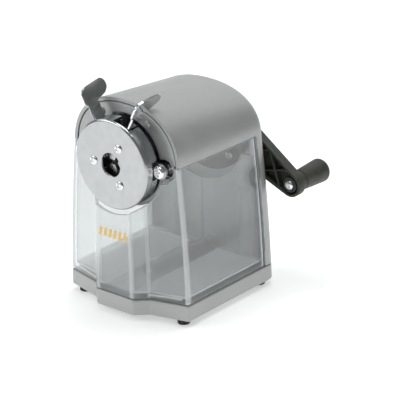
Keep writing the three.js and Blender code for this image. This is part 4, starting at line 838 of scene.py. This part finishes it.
def add_lever():
    """Pinch lever: a flat ring with three slanted cam slots, in polar form, and the moving ear."""
    turn = around(360)
    radius = np.linspace(14.2, 20.4, 26)[None, :]
    keep = np.ones((360, 26), bool)
    for angle in (0, 120, 240):
        for whole in (-360, 0, 360):
            offset = angle - np.degrees(turn) - whole
            share = np.clip(offset / 22, 0, 1)
            middle = 16.2 + 2.6 * share
            keep &= np.hypot(radius - middle, np.radians(offset - share * 22) * middle) > 1.3
    keep = np.concatenate([keep, keep[:1]], 0)
    quad = keep[:-1, :-1] & keep[1:, :-1] & keep[:-1, 1:] & keep[1:, 1:]
    ring = xyz(radius * np.cos(turn), -6.8, AXIS + radius * np.sin(turn))
    make("cam_ring", [grid(ring, wrap_u=True, keep=quad, flip=True)], "pinch_lever", None, "steel",
         outward=False, extra=(solidify(1.2), bevel(0.15, 2, 50)))
    make("moving_ear", [ear_sheet(62.0, 20.2, -1)], "pinch_lever", "chuck_lever", "chrome", sharp=40)


def add_screws():
    """Screws: domed turned heads with a driver's cross sunk in, on turned shanks."""
    head = [(0, -9.85)] + dome(2.2, -9.1, 0.75, 0.03, 30) + [(2.2, -8.98), (0, -8.98)]
    shank = dense([(0, -9.0), (1.05, -9.0), (1.05, -1.0), (0.8, -0.75), (0, -0.75)], 1)
    for name, degrees in (("left", 180), ("upper", 60), ("lower", -60)):
        place = polar(10.8, degrees)
        make("face_rivet_" + name, [lathe(*place, head, 96, cross_recess(0.36, 1.5, 0.55, 0.5)),
                                    lathe(*place, shank, 24)], "carriage", "face_screw_" + name, "chrome")
    head = [(0, -3.85)] + [(r, -3.85 + 0.02 * r * r) for r in np.linspace(0.15, 2.3, 22)]
    head += dome(0.95, -2.75, 0.98, 0.1, 10, 2.3) + [(3.28, -1.9), (0, -1.88)]
    shank = dense([(0, -1.95), (1.0, -1.95), (1.0, 4.9), (0.7, 5.2), (0, 5.2)], 1)
    for name, side in SIDES:
        make("rod_bolt_" + name, [lathe(side * ROD, AXIS, head, 112, cross_recess(0.42, 1.9, 0.9, 0.3)),
                                  lathe(side * ROD, AXIS, shank, 24)], "carriage", "rod_screw_" + name, "chrome")
    screw = [(0, 1.05)] + [(r, 1.05) for r in np.linspace(0.15, 2.5, 24)]
    screw += [(2.75, 1.25), (2.8, 1.5), (2.8, 3.1), (1.4, 3.2)]
    screw += [(1.4 - 0.18 * (i % 2), 3.2 + 0.4 * i) for i in range(32)] + [(0.8, 16.1), (0, 16.2)]
    for name, place in SCREW_PLACES.items():
        make("under_screw_" + name, [standing(*place, screw, 72, cross_recess(0.4, 1.8, 0.9))], "housing",
             "base_screw_" + name, "steel")
    head = [(0, 59.85)] + dome(2.35, 60.9, 1.05, 0.04, 24) + [(2.35, 61.3), (1.4, 61.32), (1.4, 63.4), (0, 63.45)]
    for name, degrees in (("upper_right", 45), ("upper_left", 135), ("lower_left", 225), ("lower_right", 315)):
        make("case_bolt_" + name, [lathe(*polar(20, degrees), head, 72, cross_recess(0.36, 1.5, 0.7, 0.2))],
             "housing", "case_screw_" + name, "steel")


# ------------------------------------------------------------------ carriage rods and springs
def add_rods():
    """Guide rods: turned bars with a bevelled end and the clip's groove; clips are open washers."""
    rod = [(0, 6.2), (1.12, 6.2), (1.12, -0.3), (1.3, -0.45), (1.5, -0.25)] + dense([(1.5, -0.25), (1.5, 55.85)], 3)
    rod += [(1.02, 55.9), (1.02, 57.1), (1.5, 57.15), (1.5, 57.6), (1.1, 58.0), (0, 58.0)]
    turn = np.radians(np.linspace(-60, 240, 49))[:, None]
    radius, y = np.array([(1.1, 56.02), (2.5, 56.0), (2.6, 56.1), (2.6, 56.9), (2.5, 57.0), (1.1, 56.98)]).T
    for name, side in SIDES:
        make("slide_rod_" + name, [lathe(side * ROD, AXIS, rod, 40)], "carriage", "guide_rod_" + name, "chrome")
        clip = xyz(side * ROD + radius * np.cos(turn), y, AXIS + radius * np.sin(turn))
        make("retainer_" + name, [grid(capped(clip), wrap_v=True)], "carriage", "rod_clip_" + name, "dark")


def add_springs():
    """Return springs: a round wire carried along a helix whose pitch closes up at both ends."""
    wire, turns = settings().spring_wire / MM / 2, settings().spring_turns
    coil, front, back = 2.28, 8.5, 55.1
    t = np.linspace(0, 1, turns * 26)
    turn = 2 * pi * turns * t
    pace = smooth(0, 0.12, t) * (1 - smooth(0.88, 1, t)) + 0.28
    run = np.concatenate([[0], np.cumsum((pace[1:] + pace[:-1]) / 2)])
    out = xyz(np.cos(turn), 0, np.sin(turn))
    phi = around(10)[None]
    for name, side in SIDES:
        centre = coil * out + xyz(side * ROD, front + (back - front) * run / run[-1], AXIS)
        tangent = np.gradient(centre, axis=0)
        tangent /= np.linalg.norm(tangent, axis=1)[:, None]
        third = np.cross(tangent, out)
        tube = centre[:, None] + wire * (np.cos(phi) * out[:, None] + np.sin(phi) * third[:, None])
        obj = make("coil_" + name, [grid(capped(tube), wrap_v=True)], "housing", "return_spring_" + name, "steel")
        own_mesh(obj)


# ------------------------------------------------------------------ cutter
def on_cutter(radius, turn, along):
    """Points at radius and turn about the cutter's own axis; along is measured from its middle."""
    centre = AXIS + 5.4 / cos(TILT) + (42.5 - CUTTER_MIDDLE) * tan(TILT)
    v = radius * np.sin(turn)
    return xyz(radius * np.cos(turn), CUTTER_MIDDLE + along * cos(TILT) + v * sin(TILT),
               centre - along * sin(TILT) + v * cos(TILT))


def add_cutter():
    """Helical cutter: the radius is a sawtooth of the angle, turned along the length. The pinion's
    radius is a flat-topped wave of its teeth."""
    s = settings()
    turn = around(12 * s.blades)
    length = 29 / cos(TILT)
    share = np.concatenate([[0], np.linspace(0, 1, 70), [1]])
    saw = np.mod(turn * s.blades / (2 * pi), 1)
    depth = np.where(saw < 0.22, saw / 0.22, 1 - (saw - 0.22) / 0.78)
    ends = np.concatenate([[0.35], np.ones(70), [0.35]])
    radius = (5.08 - 0.95 * np.clip(depth, 0, 1) ** 0.8) * ends
    blades = on_cutter(radius, turn + s.helix * share, (share - 0.5) * length)
    turn = around(PINION_TEETH * 16)
    wave = np.mod(turn * PINION_TEETH / (2 * pi), 1)
    tooth = smooth(0.14, 0.3, wave) * (1 - smooth(0.7, 0.86, wave))
    gear_at = (48.78 - CUTTER_MIDDLE) / cos(TILT)
    on_face = np.array([0, 0, 1, 1, 0, 0])
    gear = on_cutter((4.15 + 1.12 * tooth) * on_face + 1.85 * (1 - on_face), turn + pi / 2 + pi / PINION_TEETH,
                     gear_at + 1.1 * np.array([-1, -1, -1, 1, 1, 1]))
    neck = on_cutter(2.7, around(48), np.linspace(length / 2 - 0.5, gear_at - 1.0, 4))
    make("cutter_blades", [grid(sheet, wrap_u=True) for sheet in (blades, gear, neck)], "cutter", "helical_cutter",
         "dark", sharp=28)


# ------------------------------------------------------------------ crank
HUB, END = 12.5, 6.3  # radii of the arm's two ends


def arm_loop(hub, end):
    """Outline round two circles a crank's length apart, with the tangents between them."""
    lean = acos((hub - end) / CRANK)
    a = np.linspace(lean, 2 * pi - lean, 72)
    b = np.linspace(-lean, lean, 36)
    big = np.stack([hub * np.cos(a), hub * np.sin(a)], -1)
    small = np.stack([CRANK + end * np.cos(b), end * np.sin(b)], -1)
    t = np.linspace(0, 1, 42)[1:-1, None]
    return np.concatenate([big, big[-1] + t * (small[0] - big[-1]), small, small[-1] + t * (big[0] - small[-1])])


def turned_arm(points):
    """From the arm's own plane, with x along the arm, to its place at rest."""
    c, s = cos(CRANK_TURN), sin(CRANK_TURN)
    x, y, z = np.moveaxis(points, -1, 0)
    return xyz(x * c - z * s, y, AXIS + x * s + z * c)


def add_crank():
    """Crank arm: the outline of two circles and their tangents carried round a dished profile;
    crossed ribs are round-edged bars; bosses are turned."""
    front, back, wall, web = 68.6, 74.0, 1.5, 1.8
    floor = back - web
    bosses = ((0, 5.6, 3.1), (CRANK, 3.9, 1.8))
    profile = [(wall + 1.2, floor)] + arc(wall + 0.5, floor - 0.5, 0.5, 90, 180, 5)
    profile += [(wall, front + 0.3), (wall - 0.2, front + 0.05), (wall - 0.4, front), (0.4, front),
                (0.15, front + 0.08), (0, front + 0.4), (0, front + 2), (0, back - 1.2)]
    profile += arc(1.2, back - 1.2, 1.2, 180, 90, 8)[1:] + [(2.6, back)]
    spine = arm_loop(0.02, 0.01)
    loops = [(spine, floor)] + [(arm_loop(HUB - inset, END - inset), y) for inset, y in profile] + [(spine, back)]
    rows = np.stack([xyz(loop[:, 0], y, loop[:, 1]) for loop, y in loops], 1)
    sheets = [grid(turned_arm(rows), wrap_u=True)]
    a, c, s = stadium(6, 4)
    t = np.linspace(-1, 1, 16)[:, None]
    bay = (CRANK - bosses[0][1] - bosses[1][1]) / 3
    for i in range(3):
        middle = bosses[0][1] + bay * (i + 0.5)
        room = HUB - (HUB - END) * middle / CRANK - 1.0
        for way in (-1, 1):
            across, along = way * room, bay / 2
            half = 0.5 * s / np.hypot(along, across)
            bar = xyz(middle + t * along - half * across, 70.9 + 1.25 * a + 0.5 * c, t * across + half * along)
            sheets.append(grid(turned_arm(capped(bar)), wrap_v=True))
    for x, radius, bore in bosses:
        boss = [(bore, floor + 0.3), (bore, front + 0.2), (bore + 0.15, front + 0.02), (radius - 0.3, front),
                (radius, front + 0.3), (radius, floor - 0.5), (radius + 0.6, floor + 0.1)]
        points, quads = lathe(x, 0, boss, 48)
        sheets.append((turned_arm(points), quads))
    make("crank_lever", sheets, "crank", "crank_arm", "plastic", sharp=40)


def add_handle():
    """Handle: a turned grip that widens to a rounded end, with a collar and a groove at its root,
    and the pin's domed head with its peened centre. Nut: six flats with turned chamfers."""
    begin, end = 74.35, 94.3
    root = begin + 2.9
    grip = [(1.85, begin + 4), (1.85, begin + 0.3), (2.1, begin)] + arc(4.5, begin + 0.45, 0.45, -90, 0, 5)
    grip += [(4.98, begin + 2.2), (4.72, begin + 2.35), (4.72, begin + 2.75), (5.05, root)]
    grip += [(5.05 + 0.95 * t ** 0.8, root + (end - 2.2 - root) * t) for t in np.linspace(0.05, 1, 16)]
    grip += arc(4.0, end - 2.0, 2.0, 6, 84, 10) + [(2.0, end), (0.8, end - 0.12), (0, end - 0.15)]
    make("grip", [lathe(*PIN, grip, 72)], "handle", "crank_handle", "plastic")
    rivet = [(0, 67.75), (0.5, 67.7), (0.75, 67.62)] + dome(2.3, 68.5, 0.95, 0.4, 12) + [(2.3, 68.48), (1.7, 68.5)]
    rivet += dense([(1.7, 68.5), (1.7, 90), (1.4, 90.3), (0, 90.3)], 4)
    make("handle_rivet", [lathe(*PIN, rivet, 48)], "crank", "handle_pin", "chrome")
    turn = around(96)
    flats = 4.85 / np.cos(np.mod(turn + pi / 6, pi / 3) - pi / 6)
    limit, y = np.array([(3.1, 74.1), (4.7, 74.1), (5.6, 74.4), (5.6, 76.6), (4.75, 77.0), (3.4, 77.0),
                         (3.1, 76.6), (3.1, 74.3)]).T
    radius = np.where(limit <= 3.4, limit, np.minimum(flats, limit))
    nut = xyz(radius * np.cos(turn), y, AXIS + radius * np.sin(turn))
    make("hub_nut", [grid(nut, wrap_u=True, wrap_v=True)], "crank", "crank_nut", "steel")
    shaft = [(0, 55.4), (2.7, 55.4), (3.0, 55.7)] + dense([(3.0, 55.7), (3.0, 77.5)], 3)
    shaft += [(2.6, 78.0), (0.7, 78.0), (0, 77.4)]
    make("drive_shaft", [lathe(0, AXIS, shaft, 48)], "crank", "main_shaft", "steel")


# ------------------------------------------------------------------ hidden pieces
def add_inner():
    """Pieces inside the body: the frame's own solids with worked edges and their materials."""
    plan = {
        "steel": ("rod_bush_left", "rod_bush_right", "carriage_plate", "cutter_head", "cutter_pin",
                  "jaw_1", "jaw_2", "jaw_3"),
        # the gear case is dark plastic of its own; its wide flange also stands in as painted shade inside the column
        # behind the drawer
        "dark": ("bulkhead",), "plastic": ("gear_case",), "brass": ("shaft_bush",),
    }
    for key, names in plan.items():
        for name in names:
            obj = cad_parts[name]
            obj.data.materials.clear()
            obj.data.materials.append(materials()[key])
            bevel(0.15, 2, 35)(obj)


# ------------------------------------------------------------------ studio
def camera_matrix(eye, forward, roll=0.0):
    """A camera at eye that looks along forward, rolled about it."""
    f = np.array(forward) / np.linalg.norm(forward)
    right = np.cross(f, [0, 0, 1])
    right /= np.linalg.norm(right)
    up = np.cross(right, f)
    c, s = cos(roll), sin(roll)
    m = np.identity(4)
    m[:3] = np.stack([c * right + s * up, c * up - s * right, -f, eye], 1)
    return Matrix(m.tolist())


def area_light(name, place, size, power):
    data = bpy.data.lights.new(name, "AREA")
    data.shape = "RECTANGLE"
    data.size, data.size_y = size
    data.energy = power
    light = linked(name, data)
    light.matrix_world = camera_matrix(place, np.array([0, 0, 0.05]) - place)


def backdrop(name, points, material):
    """A sheet of the set, from points in metres."""
    mesh = bpy.data.meshes.new(name)
    verts, quads = grid(points)
    mesh.from_pydata(verts.tolist(), [], quads.tolist())
    mesh.shade_smooth()
    mesh.materials.append(material)
    sheet = linked(name, mesh)
    return sheet


def add_studio():
    """Studio: a pale floor that curves up behind on a quarter circle, soft lights, a grey card
    beside the set that only reflections see, and the camera."""
    scene = bpy.context.scene
    flat, bend = 1.4, 0.8
    u, v = np.meshgrid(np.linspace(-1, 1, 41), np.linspace(0, 1, 60), indexing="ij")
    turn = np.clip((v - 0.5) / 0.25, 0, 1) * pi / 2
    y = np.where(v < 0.5, -3.0 + v / 0.5 * (3.0 + flat), flat + bend * np.sin(turn))
    z = bend * (1 - np.cos(turn)) + np.clip(v - 0.75, 0, None) * 8
    backdrop("backdrop", xyz(3.0 * u, y, z), paper("paper"))
    u, v = np.meshgrid(np.linspace(-1, 1, 9), np.linspace(0, 1, 9), indexing="ij")
    grey = worked_metal("grey_card", (0.14, 0.146, 0.134), 0.7, 0.8, scratch=0.02, metallic=0.0)
    card = backdrop("dark_card", xyz(0.40 + 0.27 * u, 0.44 - 0.24 * u, 0.01 + 0.5 * v), grey)
    card.visible_camera = card.visible_shadow = card.visible_diffuse = False
    area_light("key", (-0.75, -0.8, 0.75), (0.9, 0.7), 5.2)
    area_light("top", (0.0, 0.15, 1.1), (0.8, 0.6), 6.6)
    world = bpy.data.worlds.new("studio")
    scene.world = world
    world.use_nodes = True
    sky = world.node_tree.nodes["Background"].inputs
    sky["Color"].default_value = (0.95, 0.97, 1.0, 1)
    sky["Strength"].default_value = 0.22
    data = bpy.data.cameras.new("camera")
    data.sensor_width = 36
    data.lens = 236.25
    data.clip_start, data.clip_end = 0.05, 20
    camera = linked("camera", data)
    eye = (np.array([788.8, -847.4, 539.4]) + SHIFT) * MM
    camera.matrix_world = camera_matrix(eye, (-0.6069, 0.6938, -0.3877), radians(-1.93))
    scene.camera = camera
    scene.view_settings.view_transform = "Standard"


# ------------------------------------------------------------------ operators, panel
def operator(idname, label, work):
    """An operator class that runs one builder."""
    def execute(self, context):
        work()
        return {"FINISHED"}
    return type("SHARPENER_OT_" + idname, (bpy.types.Operator,), {
        "bl_idname": "sharpener." + idname, "bl_label": label, "bl_options": {"REGISTER", "UNDO"},
        "__doc__": work.__doc__, "execute": execute,
    })


STEPS = [
    ("base", "Base", add_base), ("feet", "Feet", add_feet), ("hood", "Hood", add_hood),
    ("bezel", "Bezel", add_bezel), ("drawer", "Drawer", add_drawer), ("mark", "Stamped Mark", add_mark),
    ("cup", "Face Cup", add_cup), ("lever", "Pinch Lever", add_lever), ("screws", "Screws", add_screws),
    ("rods", "Guide Rods", add_rods), ("springs", "Return Springs", add_springs),
    ("cutter", "Cutter", add_cutter), ("crank", "Crank", add_crank), ("handle", "Handle", add_handle),
    ("inner", "Inner Pieces", add_inner), ("studio", "Studio", add_studio),
]
OPERATORS = [operator(*step) for step in STEPS]


class SHARPENER_PT_panel(bpy.types.Panel):
    """Lists the builders and the settings."""
    bl_label = "Sharpener"
    bl_idname = "SHARPENER_PT_panel"
    bl_space_type = "VIEW_3D"
    bl_region_type = "UI"
    bl_category = "Sharpener"

    def draw(self, context):
        box = self.layout.box()
        for key in SharpenerSettings.__annotations__:
            box.prop(context.scene.sharpener, key)
        for idname, label, _ in STEPS:
            self.layout.operator("sharpener." + idname, text=label)


CLASSES = [SharpenerSettings, *OPERATORS, SHARPENER_PT_panel]


def register():
    for cls in CLASSES:
        bpy.utils.register_class(cls)
    bpy.types.Scene.sharpener = PointerProperty(type=SharpenerSettings)


def unregister():
    del bpy.types.Scene.sharpener
    for cls in reversed(CLASSES):
        bpy.utils.unregister_class(cls)


def main():
    register()
    for idname, _, _ in STEPS:
        if getattr(bpy.ops.sharpener, idname)() != {"FINISHED"}:
            raise RuntimeError(idname + " did not finish")


if __name__ == "__main__":
    main()
